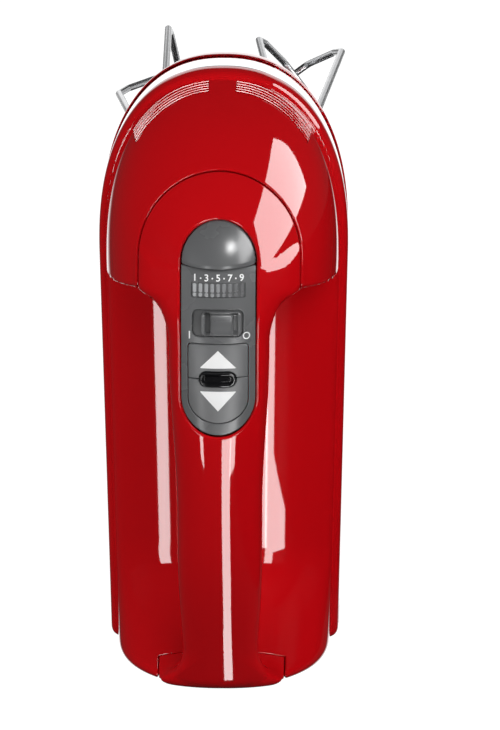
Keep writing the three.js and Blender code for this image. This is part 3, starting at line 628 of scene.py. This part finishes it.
def vent_slats(name, side):
    """The slotted field: arc slats in low steps, each with a slot beside it, closed behind."""
    along = np.radians(np.linspace(VENT_ANGLE[0] + 0.1, VENT_ANGLE[1] - 0.1, 48))
    edges = np.linspace(VENT_DEPTH[0] + 0.02, VENT_DEPTH[1] - 0.02, VENT_SLATS + 1)
    a, d = np.meshgrid(along, edges, indexing="ij")
    x, z = vent_point(a.ravel(), d.ravel())
    surface_points = project(upper_field, np.stack([x, -top_height(x, z, 2.0), z], 1), 8)
    height = -surface_points[:, 1].reshape(len(along), -1)
    outer = []
    for i, angle in enumerate(along):
        for k in range(VENT_SLATS):
            for run, sink in VENT_STEPS:
                px, pz = vent_point(angle, edges[k] + run * (edges[k + 1] - edges[k]))
                outer.append((side * float(px), sink - height[i, k], float(pz)))
        px, pz = vent_point(angle, edges[-1])
        outer.append((side * float(px), -height[i, -1], float(pz)))
    outer = np.array(outer)
    rows = len(outer) // len(along)
    triangles = []
    for i in range(len(along) - 1):
        for j in range(rows - 1):
            q = [i * rows + j, (i + 1) * rows + j, (i + 1) * rows + j + 1, i * rows + j + 1]
            triangles += [(q[0], q[1], q[2]), (q[0], q[2], q[3])]
    triangles = np.array(triangles) if side > 0 else np.array(triangles)[:, ::-1]
    inner = outer + np.array([0, 1.6, 0]) - unit(gradient(upper_field, outer)) * 0.8
    skin, faces = shell_mesh(outer, inner, triangles)
    mesh_object(name, skin, outward(skin, faces), RED, "housing", sharp=30)


def outward(points, faces):
    """The faces, all turned round if they enclose a negative volume."""
    volume = 0.0
    for f in faces:
        for k in range(1, len(f) - 1):
            volume += np.dot(points[f[0]], np.cross(points[f[k]], points[f[k + 1]]))
    return faces if volume > 0 else [tuple(f)[::-1] for f in faces]


build_red_shell()
vent_slats("vent_slats_left", -1)
vent_slats("vent_slats_right", 1)


# ---------- control panel ----------
def rounded(x, z, x0, x1, z0, z1, r):
    """Signed distance to a rectangle with corners of radius r."""
    u = np.abs(x - (x0 + x1) / 2) - (x1 - x0) / 2 + r
    v = np.abs(z - (z0 + z1) / 2) - (z1 - z0) / 2 + r
    return np.hypot(np.maximum(u, 0), np.maximum(v, 0)) + np.minimum(np.maximum(u, v), 0) - r


def triangle_field(x, z, tip, foot, half):
    """Signed distance, roughly, to an upright or hanging triangle."""
    way = 1 if tip > foot else -1
    tall = abs(tip - foot)
    slant = math.hypot(half, tall)
    side = ((np.abs(x) - half) * tall + way * (z - foot) * half) / slant
    return smax(side, way * (foot - z), 0.35)


def plate(name, region, lift, thick, material, body, area, edge=0.3, step=0.4, nodes=()):
    """A closed skin over the panel where region(x, z) < 0, standing lift(x, z) above the crown's
    surface, with its edge rolled over."""
    x0, x1, z0, z1 = area
    xs = np.arange(x0, x1 + step, step)
    zs = np.arange(z0, z1 + step, step)
    gx, gz = np.meshgrid(xs, zs, indexing="ij")
    points = np.stack([gx.ravel(), np.zeros(gx.size), gz.ravel()], 1)
    n = len(zs)
    i, j = np.meshgrid(np.arange(len(xs) - 1), np.arange(n - 1), indexing="ij")
    a = (i * n + j).ravel()
    triangles = np.vstack([np.stack([a, a + n, a + n + 1], 1), np.stack([a, a + n + 1, a + 1], 1)])
    for share in (0.0, 0.08, 0.3, 0.62, 1.0):
        points, triangles = cut(points, triangles, region(points[:, 0], points[:, 2]) + share * edge)
    middle = points[triangles].mean(1)
    points, triangles = keep(points, triangles, region(middle[:, 0], middle[:, 2]) < 0)
    x, z = points[:, 0], points[:, 2]
    drop = rolled(np.clip(-region(x, z) / edge, 0, 1), edge)
    top = top_height(x, z)
    outer = np.stack([x, -(top + lift(x, z) - drop), z], 1)
    inner = np.stack([x, -(top + np.minimum(lift(x, z) - drop, lift(x, z).min()) - thick), z], 1)
    skin, faces = shell_mesh(outer, inner, triangles)
    piece = mesh_object(name, skin, faces, material, body, sharp=50)
    for node in nodes:
        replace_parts(piece, node)
    return piece


def around(area, across, along):
    """An area (x from, x to, z from, z to) grown by two margins."""
    x0, x1, z0, z1 = area
    return x0 - across, x1 + across, z0 - along, z1 + along


def flat_lift(height):
    """A lift that is the same all over."""
    return lambda x, z: np.full_like(x, height)


BUTTON_EDGE_Z = 161.3                  # lower edge of the ejector button
KEY_HALF, KEY_TOP, KEY_SPLIT, KEY_BOTTOM, KEY_ROUND_Z = 10.0, 136.6, 125.1, 109.6, 118.0
KEY_BOX = (-KEY_HALF, KEY_HALF, KEY_BOTTOM, KEY_TOP)
BAR_BOX = face_box("tactile_bar")
KNOB_BOX = face_box("power_knob")
KNOB_TRAVEL = 2.4                      # room for the knob to slide towards -x
RIB_HALF, RIB_LOW, RIB_HIGH, RIB_COUNT = 8.8, 151.7, 156.2, 9
RIB_BOX = (-RIB_HALF, RIB_HALF, RIB_LOW, RIB_HIGH)
PANEL_BOX = around((-PANEL_HALF, PANEL_HALF, PANEL_LOW_Z, PANEL_HIGH_Z), 1, 1)
FRAME_DROP = 0.4                       # how far the panel lies under the crown's surface


def button_edge(x):
    return BUTTON_EDGE_Z + 0.5 * (np.abs(x) / PANEL_HALF) ** 2 - 0.3


def key_outline(x, z, grow=0.0):
    """Signed distance to the outline that the two speed keys share."""
    upper = rounded(x, z, -KEY_HALF - grow, KEY_HALF + grow, KEY_ROUND_Z - 9, KEY_TOP + grow, 1.4)
    lower = radial(x, np.minimum(z - KEY_ROUND_Z, 0), KEY_HALF + grow, KEY_ROUND_Z - KEY_BOTTOM + grow, 2)
    return np.where(z > KEY_ROUND_Z, upper, lower)


def bar_outline(x, z, grow=0.0):
    tall = BAR_BOX[3] - BAR_BOX[2]
    return rounded(x, z, *around(BAR_BOX, grow, grow), tall / 2 + grow)


def knob_outline(x, z, grow=0.0, left=0.0):
    x0, x1, z0, z1 = KNOB_BOX
    return rounded(x, z, x0 - grow - left, x1 + grow, z0 - grow, z1 + grow, 1.5 + grow)


def ribs_outline(x, z, grow=0.0):
    return rounded(x, z, *around(RIB_BOX, grow, grow), 0.3 + grow)


def frame_region(x, z):
    """Negative on the panel's frame, outside the holes for what moves in it."""
    whole = smax(panel_field(x, z, -0.3), z - button_edge(x) + 0.22, 0.2)
    for hole in (key_outline(x, z, 0.12), knob_outline(x, z, 0.5, KNOB_TRAVEL), ribs_outline(x, z, 0.1)):
        whole = np.maximum(whole, -hole)
    return whole


def build_panel():
    """The frame, the ejector button, the display, the power slide, the keys and their bar."""
    plate("panel_frame", frame_region, flat_lift(-FRAME_DROP), 0.8, GREY, "housing", PANEL_BOX, 0.25,
          nodes=("control_bezel",))

    def button_lift(x, z):
        rise = np.clip((z - 164.0) / (PANEL_HIGH_Z + 0.6 - 164.0), 0, 1)
        bulge = np.sqrt(np.clip(1 - (x / (PANEL_HALF + 0.6)) ** 2 - rise ** 2, 0, 1))
        return -2.6 + 5.4 * bulge - 0.5 * (1 - smoothstep(0, 1.6, z - button_edge(x)))

    plate("ejector_cap", lambda x, z: smax(panel_field(x, z, -0.4), button_edge(x) + 0.1 - z, 0.4),
          button_lift, 1.2, GREY, "ejector", PANEL_BOX, 0.3, 0.3, ("ejector_button",))

    plate("display_base", lambda x, z: ribs_outline(x, z, 0.02), flat_lift(-0.8), 0.4, GREY, "housing",
          around(RIB_BOX, 1, 1), 0.1, 0.3, ("display_lens",))
    pitch = 2 * RIB_HALF / RIB_COUNT
    rib_parts = (("long", RIB_LOW + 1.55, RIB_HIGH - 0.15), ("short", RIB_LOW + 0.15, RIB_LOW + 1.35))
    for k in range(RIB_COUNT):
        centre = -RIB_HALF + pitch * (k + 0.5)
        for part, low, high in rib_parts:
            plate(f"display_{part}_{k + 1}",
                  lambda x, z: rounded(x, z, centre - 0.62, centre + 0.62, low, high, 0.45),
                  lambda x, z: -0.62 + 0.3 * (1 - ((x - centre) / 0.62) ** 2), 0.15, RIBS, "housing",
                  (centre - 0.8, centre + 0.8, low - 0.2, high + 0.2), 0.15, 0.13)
    # The slot's floor under the knob; its darker grey is painted shade, standing in for the shade in the gap
    # round the knob.
    plate("slide_apron", lambda x, z: rounded(x, z, *around(KNOB_BOX, 3.3, 0.9), 1.5), flat_lift(-1.27), 0.4,
          GREY_SHADE, "power_slide", around(KNOB_BOX, 4, 2), 0.1)
    cx, cz = (KNOB_BOX[0] + KNOB_BOX[1]) / 2, (KNOB_BOX[2] + KNOB_BOX[3]) / 2

    def knob_lift(x, z):
        rim = 1.3 - 0.5 * smoothstep(0.1, 1.6, -rounded(x, z, *KNOB_BOX, 1.5))
        hollow = np.clip(1 - ((z - cz) / 4.3) ** 2, 0, 1) ** 0.6
        scoop = 2.4 * smoothstep(3.95, 3.6, np.abs(x - cx)) * hollow
        inside = smoothstep(4.2, 2.6, np.abs(z - cz))
        left = 3.4 * smoothstep(0.95, 0.7, np.abs(x - (cx - 4.55))) * inside
        right = 1.7 * smoothstep(1.0, 0.6, np.abs(x - (cx + 4.65))) * inside
        return rim - np.maximum(scoop * 0.75, np.maximum(left, right))

    plate("slide_knob", lambda x, z: knob_outline(x, z, -0.05), knob_lift, 0.3, GREY, "power_slide",
          around(KNOB_BOX, 1, 1), 0.55, 0.22, ("power_knob",))
    # A dark grey sheet in the knob's left groove: painted shade standing in for the groove's shadow.
    plate("slide_groove_painted_shade", lambda x, z: rounded(x, z, cx - 5.5, cx - 3.6, cz - 3.2, cz + 3.2, 0.7),
          flat_lift(-1.7), 0.3, GREY_SHADE, "power_slide", (cx - 6, cx - 3, cz - 4, cz + 4), 0.2, 0.2)

    def key_lift(height):  # a little crowned across
        return lambda x, z: height + 0.3 * (1 - (x / 11) ** 2)

    for name, way, tip, foot in (("speed_up", 1, 134.6, 128.6), ("speed_down", -1, 113.9, 120.7)):
        def region(x, z):
            tilt = KEY_SPLIT + 0.25 * np.sign(x) * (np.abs(x) > 5)
            key = np.maximum(key_outline(x, z, -0.1), way * (tilt - z) + 0.12)
            return np.maximum(key, -bar_outline(x, z, 0.15))
        plate(f"{name}_pad", region, key_lift(-0.32), 0.8, GREY_SOFT, name, around(KEY_BOX, 1, 1), 0.3,
              nodes=(f"{name}_key",))
        plate(f"{name}_mark", lambda x, z: triangle_field(x, z, tip, foot, 6.1),
              key_lift(-0.26), 0.1, INK, name, (-7, 7, min(tip, foot) - 1, max(tip, foot) + 1), 0.05, 0.25)

    def ring_lift(x, z):
        depth = -bar_outline(x, z)
        return 0.15 + 0.75 * smoothstep(0, 0.35, depth) - 1.5 * smoothstep(0.75, 1.5, depth)

    plate("feel_bar", lambda x, z: bar_outline(x, z, -0.05), ring_lift, 0.4, BLACK, "housing",
          around(BAR_BOX, 1, 1), 0.15, 0.13, ("tactile_bar",))
    plate("feel_bar_core", lambda x, z: bar_outline(x, z, -1.45), flat_lift(-0.35), 0.2, BLACK, "housing",
          BAR_BOX, 0.2, 0.13)


def lettering(name, text, x, z, tall):
    """White printed characters lying on the panel."""
    curve = bpy.data.curves.new(name, "FONT")
    curve.body = text
    curve.size = tall * MM * 1.42
    curve.align_x, curve.align_y = "CENTER", "CENTER"
    curve.extrude = 0.03 * MM
    curve.offset = 0.045 * MM
    curve.resolution_u = 8
    piece = bpy.data.objects.new(name, curve)
    bpy.context.collection.objects.link(piece)
    curve.materials.append(INK)
    here = float(top_height(x, z))
    slope = math.atan(float(top_height(x, z + 0.5) - top_height(x, z - 0.5)))
    lean = math.atan(float(top_height(x + 0.5, z) - top_height(x - 0.5, z)))
    piece.location = (x * MM, -(here - FRAME_DROP + 0.03) * MM, z * MM)
    upright = Matrix.Rotation(math.pi / 2, 3, "X")
    turn = Matrix.Rotation(slope, 3, "X") @ Matrix.Rotation(-lean, 3, "Z") @ upright
    piece.rotation_euler = turn.to_euler()
    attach(piece, "housing")


INK_LEVEL = flat_lift(-FRAME_DROP + 0.08)
DIGIT_PITCH, DIGIT_Z, DOT_Z = 3.88, 157.8, 157.75
build_panel()
for k, digit in enumerate("13579"):
    lettering(f"digit_{digit}", digit, -7.75 + DIGIT_PITCH * k, DIGIT_Z, 2.3)
    if k < 4:
        x = -5.8 + DIGIT_PITCH * k
        plate(f"dot_{k + 1}", lambda u, v: np.hypot(u - x, v - DOT_Z) - 0.27, INK_LEVEL, 0.1, INK,
              "housing", (x - 1, x + 1, 156.8, 158.8), 0.04, 0.12)
plate("mark_on", lambda x, z: rounded(x, z, -9.7, -9.25, 138.1, 140.6, 0.1), INK_LEVEL, 0.1, INK,
      "housing", (-10.5, -8.5, 137, 141.5), 0.04, 0.12)
plate("mark_off", lambda x, z: np.abs(np.hypot(x - 9.4, z - 139.2) - 1.02) - 0.19, INK_LEVEL, 0.1,
      INK, "housing", (7.5, 11.3, 137, 141.5), 0.04, 0.1)


# ---------- trim band and lower housing ----------
def plan_outline(inset, foot, count):
    """Plan outline from the left foot up round the nose and down to the right foot."""
    side = count // 4
    points = [(-float(plan_half(z, inset)), z) for z in np.linspace(foot, SHOULDER_Z, side, endpoint=False)]
    tall = NOSE_Z - inset - SHOULDER_Z
    half = RIM_HALF - inset
    for a in np.linspace(-math.pi / 2, math.pi / 2, count - 2 * side):
        s, c = math.sin(a), math.cos(a)
        x = math.copysign(half * abs(s) ** (2 / NOSE_POWER), s)
        points.append((x, SHOULDER_Z + tall * c ** (2 / NOSE_POWER)))
    points += [(-x, z) for x, z in points[:side][::-1]]
    return np.array(points)


def trim_band():
    """The bright band round the nose and the sides, bowed a little in its section."""
    count = 168
    tall = BAND_HIGH[1] - BAND_LOW[1]
    t = np.linspace(0, 1, 13)
    bow = 0.35 * (2 * t - 1) ** 2 + 0.5 * np.clip(np.abs(2 * t - 1) - 0.9, 0, 1) / 0.1
    section = [(BAND_LOW[1] + tall * k, b + 0.2 + 0.1 * k) for k, b in zip(t, bow)]
    section += [(BAND_HIGH[1], 2.2), (BAND_LOW[1], 2.2)]
    rings = [plan_outline(inset, BAND_LOW[2], count) for _, inset in section]
    points, wide = [], len(section)
    for i in range(count):
        for (y, _), ring in zip(section, rings):
            points.append((ring[i][0], y, ring[i][1]))
    faces = grid_faces(count, wide)
    faces.append(tuple(range(wide))[::-1])
    faces.append(tuple(range((count - 1) * wide, count * wide)))
    points = np.array(points)
    piece = mesh_object("trim_band_bright", points, outward(points, faces), CHROME, "housing", sharp=35)
    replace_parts(piece, "trim_band")


COLLAR_R, COLLAR_DRAFT, COLLAR_END_Y, COLLAR_BORE = 12.0, 0.21, 58.0, 8.3
SCREW_WELL_R, SCREW_WELL_Y = 3.7, 48.6
# how far the lower housing's side has drawn in at each y
BASE_INSET = spline([(19, -0.12), (21.5, -0.08), (25, 0.7), (30, 1.4), (38, 3), (46, 7.5), (52, 13),
                     (BASE_FLOOR + 2, 24)])
SCREW_PLACES = [middle_xz(f"housing_screw_{k}") for k in (1, 2, 3, 4)]


def lower_field(x, y, z):
    """Negative inside the lower housing and its two beater collars."""
    inset = BASE_INSET(np.clip(y, 19, BASE_FLOOR + 2))
    depth = plan_depth(x, z)
    rear = z - HEEL_Z - 0.5 * inset
    side = -smin(depth - inset, rear, 5)
    body = smax(side * 0.8, y - BASE_FLOOR, 4)
    body = np.maximum(body, 0.3 - y)
    for centre in (-BEATER_X, BEATER_X):
        r = np.hypot(x - centre, z - BEATER_Z)
        collar = smax(r - (COLLAR_R - COLLAR_DRAFT * (y - 51)), y - COLLAR_END_Y, 1.6)
        body = smin(body, np.maximum(collar, 40 - y), 3.5)
        body = smax(body, COLLAR_BORE - r, 0.8)
    for sx, sz in SCREW_PLACES:
        r = np.hypot(x - sx, z - sz)
        body = smax(body, -smax(r - SCREW_WELL_R, SCREW_WELL_Y - y, 0.4), 0.5)
    return body


def lower_shell():
    """The lower housing's skin, open where the trim band lies."""
    step = 1.1
    low = (-RIM_HALF - 2, -1.5, -1.5)
    high = (RIM_HALF + 2, 60.5, NOSE_Z + 2)
    points, triangles = surface_net(lower_field, low, high, step)
    points = project(lower_field, points)
    for axis, place in ((1, 0.5), (1, BAND_HIGH[1] + 0.08), (2, BAND_LOW[2] - 0.3)):
        points, triangles = cut(points, triangles, points[:, axis] - place)
    middle = points[triangles].mean(1)
    under_band = middle[:, 1] > BAND_HIGH[1] + 0.08
    below_band = (middle[:, 2] < BAND_LOW[2] - 0.3) & (middle[:, 1] > 0.5)
    shown = under_band | below_band
    points, triangles = keep(points, triangles, shown)
    normal = unit(gradient(lower_field, points))
    skin, faces = shell_mesh(points, points - normal * 0.9, triangles)
    piece = mesh_object("lower_moulding", skin, faces, RED, "housing", np.vstack([normal, -normal]))
    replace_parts(piece, "lower_housing")


trim_band()
lower_shell()


# ---------- beaters ----------
WIRE_R, WIRE_SIDES, BEND_STEPS = 1.5, 14, 7


def fillet_path(corners, radii):
    """A polyline with each inner corner turned into an arc of about its radius."""
    path = [np.array(corners[0], float)]
    for before, here, after, r in zip(corners, corners[1:], corners[2:], radii):
        before, here, after = (np.array(p, float) for p in (before, here, after))
        a, b = before - here, after - here
        la, lb = np.linalg.norm(a), np.linalg.norm(b)
        half = math.acos(np.clip(np.dot(a, b) / (la * lb), -1, 1)) / 2
        back = min(r / math.tan(half), 0.48 * la, 0.48 * lb)
        start, end = here + a / la * back, here + b / lb * back
        for t in np.linspace(0, 1, BEND_STEPS):
            path.append((1 - t) ** 2 * start + 2 * t * (1 - t) * here + t * t * end)
    path.append(np.array(corners[-1], float))
    return np.array(path)


def wire(name, path, body, node):
    """A round wire along a path, with closed ends."""
    tangent = unit(np.gradient(path, axis=0))
    across = np.cross(tangent[0], (0.0, 0.0, 1.0) if abs(tangent[0][2]) < 0.9 else (1.0, 0.0, 0.0))
    across /= np.linalg.norm(across)
    points = []
    for p, t in zip(path, tangent):
        across = across - t * np.dot(across, t)
        across /= np.linalg.norm(across)
        other = np.cross(t, across)
        for k in range(WIRE_SIDES):
            a = 2 * math.pi * k / WIRE_SIDES
            points.append(p + WIRE_R * (math.cos(a) * across + math.sin(a) * other))
    faces = grid_faces(len(path), WIRE_SIDES)
    faces.append(tuple(range(WIRE_SIDES))[::-1])
    faces.append(tuple(range((len(path) - 1) * WIRE_SIDES, len(path) * WIRE_SIDES)))
    points = np.array(points)
    piece = mesh_object(name, points, outward(points, faces), WIRE, body, sharp=45)
    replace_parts(piece, node)


WIRE_ROUTE = [(5.2, 74.3), (6.4, 82.3), (24.6, 190.0), (21.2, 198.5)]  # distance from the axis, y
WIRE_BENDS = [6, 3, 2.5, 5]            # the bends' radii, from the shaft to the tip
BEATER_TIPS = {"a": 215.5, "b": 212.2}  # the two loops cross at different y
BEATER_TURN = {"left": 8, "right": 37}  # degrees about the beater's axis
for side, sign in (("left", -1), ("right", 1)):
    for letter, quarter in (("a", 0), ("b", 90)):
        tip = BEATER_TIPS[letter]
        turn = math.radians(BEATER_TURN[side] + quarter)
        half = WIRE_ROUTE + [(7, tip - 1.0)]
        flat = half + [(-r, y) for r, y in half[::-1]]
        corners = [(sign * BEATER_X + r * math.cos(turn), y, BEATER_Z + r * math.sin(turn))
                   for r, y in flat]
        path = fillet_path(corners, WIRE_BENDS + WIRE_BENDS[::-1])
        wire(f"{side}_beater_wire_{letter}", path, f"{side}_beater", f"{side}_beater_loop_{letter}")


# ---------- camera ----------
CAMERA_AZIMUTH, CAMERA_ELEVATION = math.radians(1), math.radians(18)
CAMERA_DISTANCE = 1.0
CAMERA_TARGET = Vector((0.0093, 0, 0.1053))
camera_data = bpy.data.cameras.new("camera")
camera_data.sensor_width = 36
camera_data.lens = 137.2
camera = bpy.data.objects.new("camera", camera_data)
bpy.context.collection.objects.link(camera)
back = Vector((math.sin(CAMERA_AZIMUTH) * math.cos(CAMERA_ELEVATION),
               -math.cos(CAMERA_AZIMUTH) * math.cos(CAMERA_ELEVATION), math.sin(CAMERA_ELEVATION)))
camera.location = CAMERA_TARGET + back * CAMERA_DISTANCE
camera.rotation_euler = (-back).to_track_quat("-Z", "Y").to_euler()
bpy.context.scene.camera = camera


# ---------- studio ----------
def stage_material():
    """White paper that glows, so it shows no shade."""
    material, tree, shader = node_material("pale_paper")
    tone = mixed(tree, noise(tree, 3), (0.2, 0.2, 0.2), (0.22, 0.22, 0.22))
    tree.links.new(tone, shader.inputs["Base Color"])
    tree.links.new(mapped(tree, noise(tree, 5), 0.7, 0.8), shader.inputs["Roughness"])
    shader.inputs["Specular IOR Level"].default_value = 0.0
    shader.inputs["Emission Color"].default_value = (1, 1, 1, 1)
    shader.inputs["Emission Strength"].default_value = 1.0
    return material


def floor():
    """A wide round sheet of paper, seen by the camera only."""
    sides = 96
    rows = [0.0, 0.5, 1.0, 2.0, 4.0]
    points = [(r * math.cos(2 * math.pi * j / sides), r * math.sin(2 * math.pi * j / sides), 0)
              for r in rows for j in range(sides)]
    mesh = bpy.data.meshes.new("floor")
    mesh.from_pydata(points, [], grid_faces(len(rows), sides))
    piece = bpy.data.objects.new("floor", mesh)
    bpy.context.collection.objects.link(piece)
    mesh.materials.append(stage_material())
    piece.visible_glossy = False
    piece.visible_diffuse = False
    piece.visible_shadow = False


def area(name, place, look_at, width, height, radiance, glossy):
    """A soft panel: a glossy one is only seen in reflections, the others only light matt surfaces."""
    light = bpy.data.lights.new(name, "AREA")
    light.shape = "RECTANGLE"
    light.size, light.size_y = width, height
    light.energy = math.pi * width * height * radiance
    holder = bpy.data.objects.new(name, light)
    bpy.context.collection.objects.link(holder)
    holder.location = place
    aim = Vector(look_at) - Vector(place)
    holder.rotation_euler = aim.to_track_quat("-Z", "Y").to_euler()
    holder.visible_camera = False
    holder.visible_diffuse = not glossy
    holder.visible_glossy = glossy
    return holder


def only_on(lamp, names):
    """Lets a lamp be seen only by the named pieces."""
    group = bpy.data.collections.new(lamp.name + "_pieces")
    for name in names:
        group.objects.link(bpy.data.objects[name])
    lamp.light_linking.receiver_collection = group


floor()
area("key_box", (0.32, -0.09, 0.50), (0, -0.09, 0.50), 0.40, 0.42, 9, True)
spark = area("button_spark", (0.28, -0.40, 0.85), (0, -0.065, 0.168), 0.15, 0.15, 60, True)
area("strip_left", (-0.735, -1.5, -0.23), (-0.735, 0, -0.23), 0.22, 0.82, 10, True)
area("strip_right", (0.525, -1.5, -0.23), (0.525, 0, -0.23), 0.31, 0.82, 10, True)
area("strip_handle", (0.145, -1.0, -0.90), (0.145, 0, -0.90), 0.24, 1.3, 10, True)
area("fill_front", (0.15, -0.45, 0.4), (0, 0, 0.12), 0.3, 0.25, 5.0, False)
area("fill_left", (-1.35, -0.75, 0.5), (0, 0, 0.1), 1.0, 1.0, 5.5, False)
area("fill_right", (1.35, -0.75, 0.5), (0, 0, 0.1), 1.0, 1.0, 5.0, False)
vent_strip = area("vent_strip", (0, -1.5, 0.0), (0, 0, 0.0), 2.2, 1.3, 16, True)
only_on(spark, ("ejector_cap",))
only_on(vent_strip, ("vent_slats_left", "vent_slats_right"))
bright = ["trim_band_bright"]
bright += [f"{side}_beater_wire_{letter}" for side in ("left", "right") for letter in "ab"]
RING_REACH, RING_WIDE, RING_TALL, RING_RADIANCE = 1.5, 0.9, 1.5, 1.0
for turn in (-45, -90, -135, 45, 90, 135):
    angle = math.radians(turn)
    spot = (RING_REACH * math.sin(angle), -RING_REACH * math.cos(angle), 0.1)
    lamp = area(f"chrome_lamp_{turn}", spot, (0, 0, 0.1), RING_WIDE, RING_TALL, RING_RADIANCE, True)
    only_on(lamp, bright)
only_on(area("chrome_top", (0, 0.3, 1.6), (0, 0.1, 0.1), 1.2, 1.2, RING_RADIANCE, True), bright)
area("fill_back", (0.3, 1.6, 1.0), (0, 0, 0.1), 1.2, 1.0, 3.0, False)


def flag():
    """A black card, seen only in reflections, that keeps the key light off the heel's hollow."""
    rows = [(0.08, y, z) for y in (-0.22, -0.06, 0.10) for z in (0.002, 0.085, 0.168)]
    faces = [(3 * i + j, 3 * i + j + 1, 3 * i + j + 4, 3 * i + j + 3) for i in range(2) for j in range(2)]
    mesh = bpy.data.meshes.new("flag")
    mesh.from_pydata(rows, [], faces)
    card = bpy.data.objects.new("flag", mesh)
    bpy.context.collection.objects.link(card)
    mesh.materials.append(surface("flag_black", (0.001, 0.001, 0.001), (0.002, 0.002, 0.002), (0.9, 1.0)))
    card.visible_camera = False
    card.visible_diffuse = False
    card.visible_shadow = False


flag()

# a white world to the camera; reflections see a dark one with a white patch behind
world = bpy.data.worlds.new("studio")
bpy.context.scene.world = world
world.use_nodes = True
tree = world.node_tree
background = tree.nodes["Background"]
place = tree.nodes.new("ShaderNodeTexCoord")
split = tree.nodes.new("ShaderNodeSeparateXYZ")
tree.links.new(place.outputs["Generated"], split.inputs["Vector"])


def ramp(value, start, end, low=0.0, high=1.0):
    """A smooth step between two values of a direction's component."""
    node = tree.nodes.new("ShaderNodeMapRange")
    node.interpolation_type = "SMOOTHSTEP"
    node.inputs["From Min"].default_value, node.inputs["From Max"].default_value = start, end
    node.inputs["To Min"].default_value, node.inputs["To Max"].default_value = low, high
    tree.links.new(value, node.inputs["Value"])
    return node.outputs["Result"]


def math_node(operation, first, second=None):
    node = tree.nodes.new("ShaderNodeMath")
    node.operation = operation
    tree.links.new(first, node.inputs[0])
    if second is not None:
        tree.links.new(second, node.inputs[1])
    return node.outputs["Value"]


sideways = math_node("ABSOLUTE", split.outputs["X"])
behind = ramp(split.outputs["Y"], 0.70, 0.80)
behind = math_node("MULTIPLY", behind, ramp(sideways, 0.24, 0.42, 1.0, 0.0))
behind = math_node("MULTIPLY", behind, ramp(split.outputs["Z"], 0.40, 0.50, 1.0, 0.0))
sweep = mixed(tree, behind, (0.03, 0.03, 0.03), (1.3, 1.3, 1.3))
seen = tree.nodes.new("ShaderNodeLightPath").outputs["Is Camera Ray"]
shade = mixed(tree, seen, (0.0, 0.0, 0.0), (1.0, 1.0, 1.0))
tree.links.new(sweep, shade.node.inputs["A"])
tree.links.new(shade, background.inputs["Color"])
bpy.context.scene.view_settings.view_transform = "Standard"
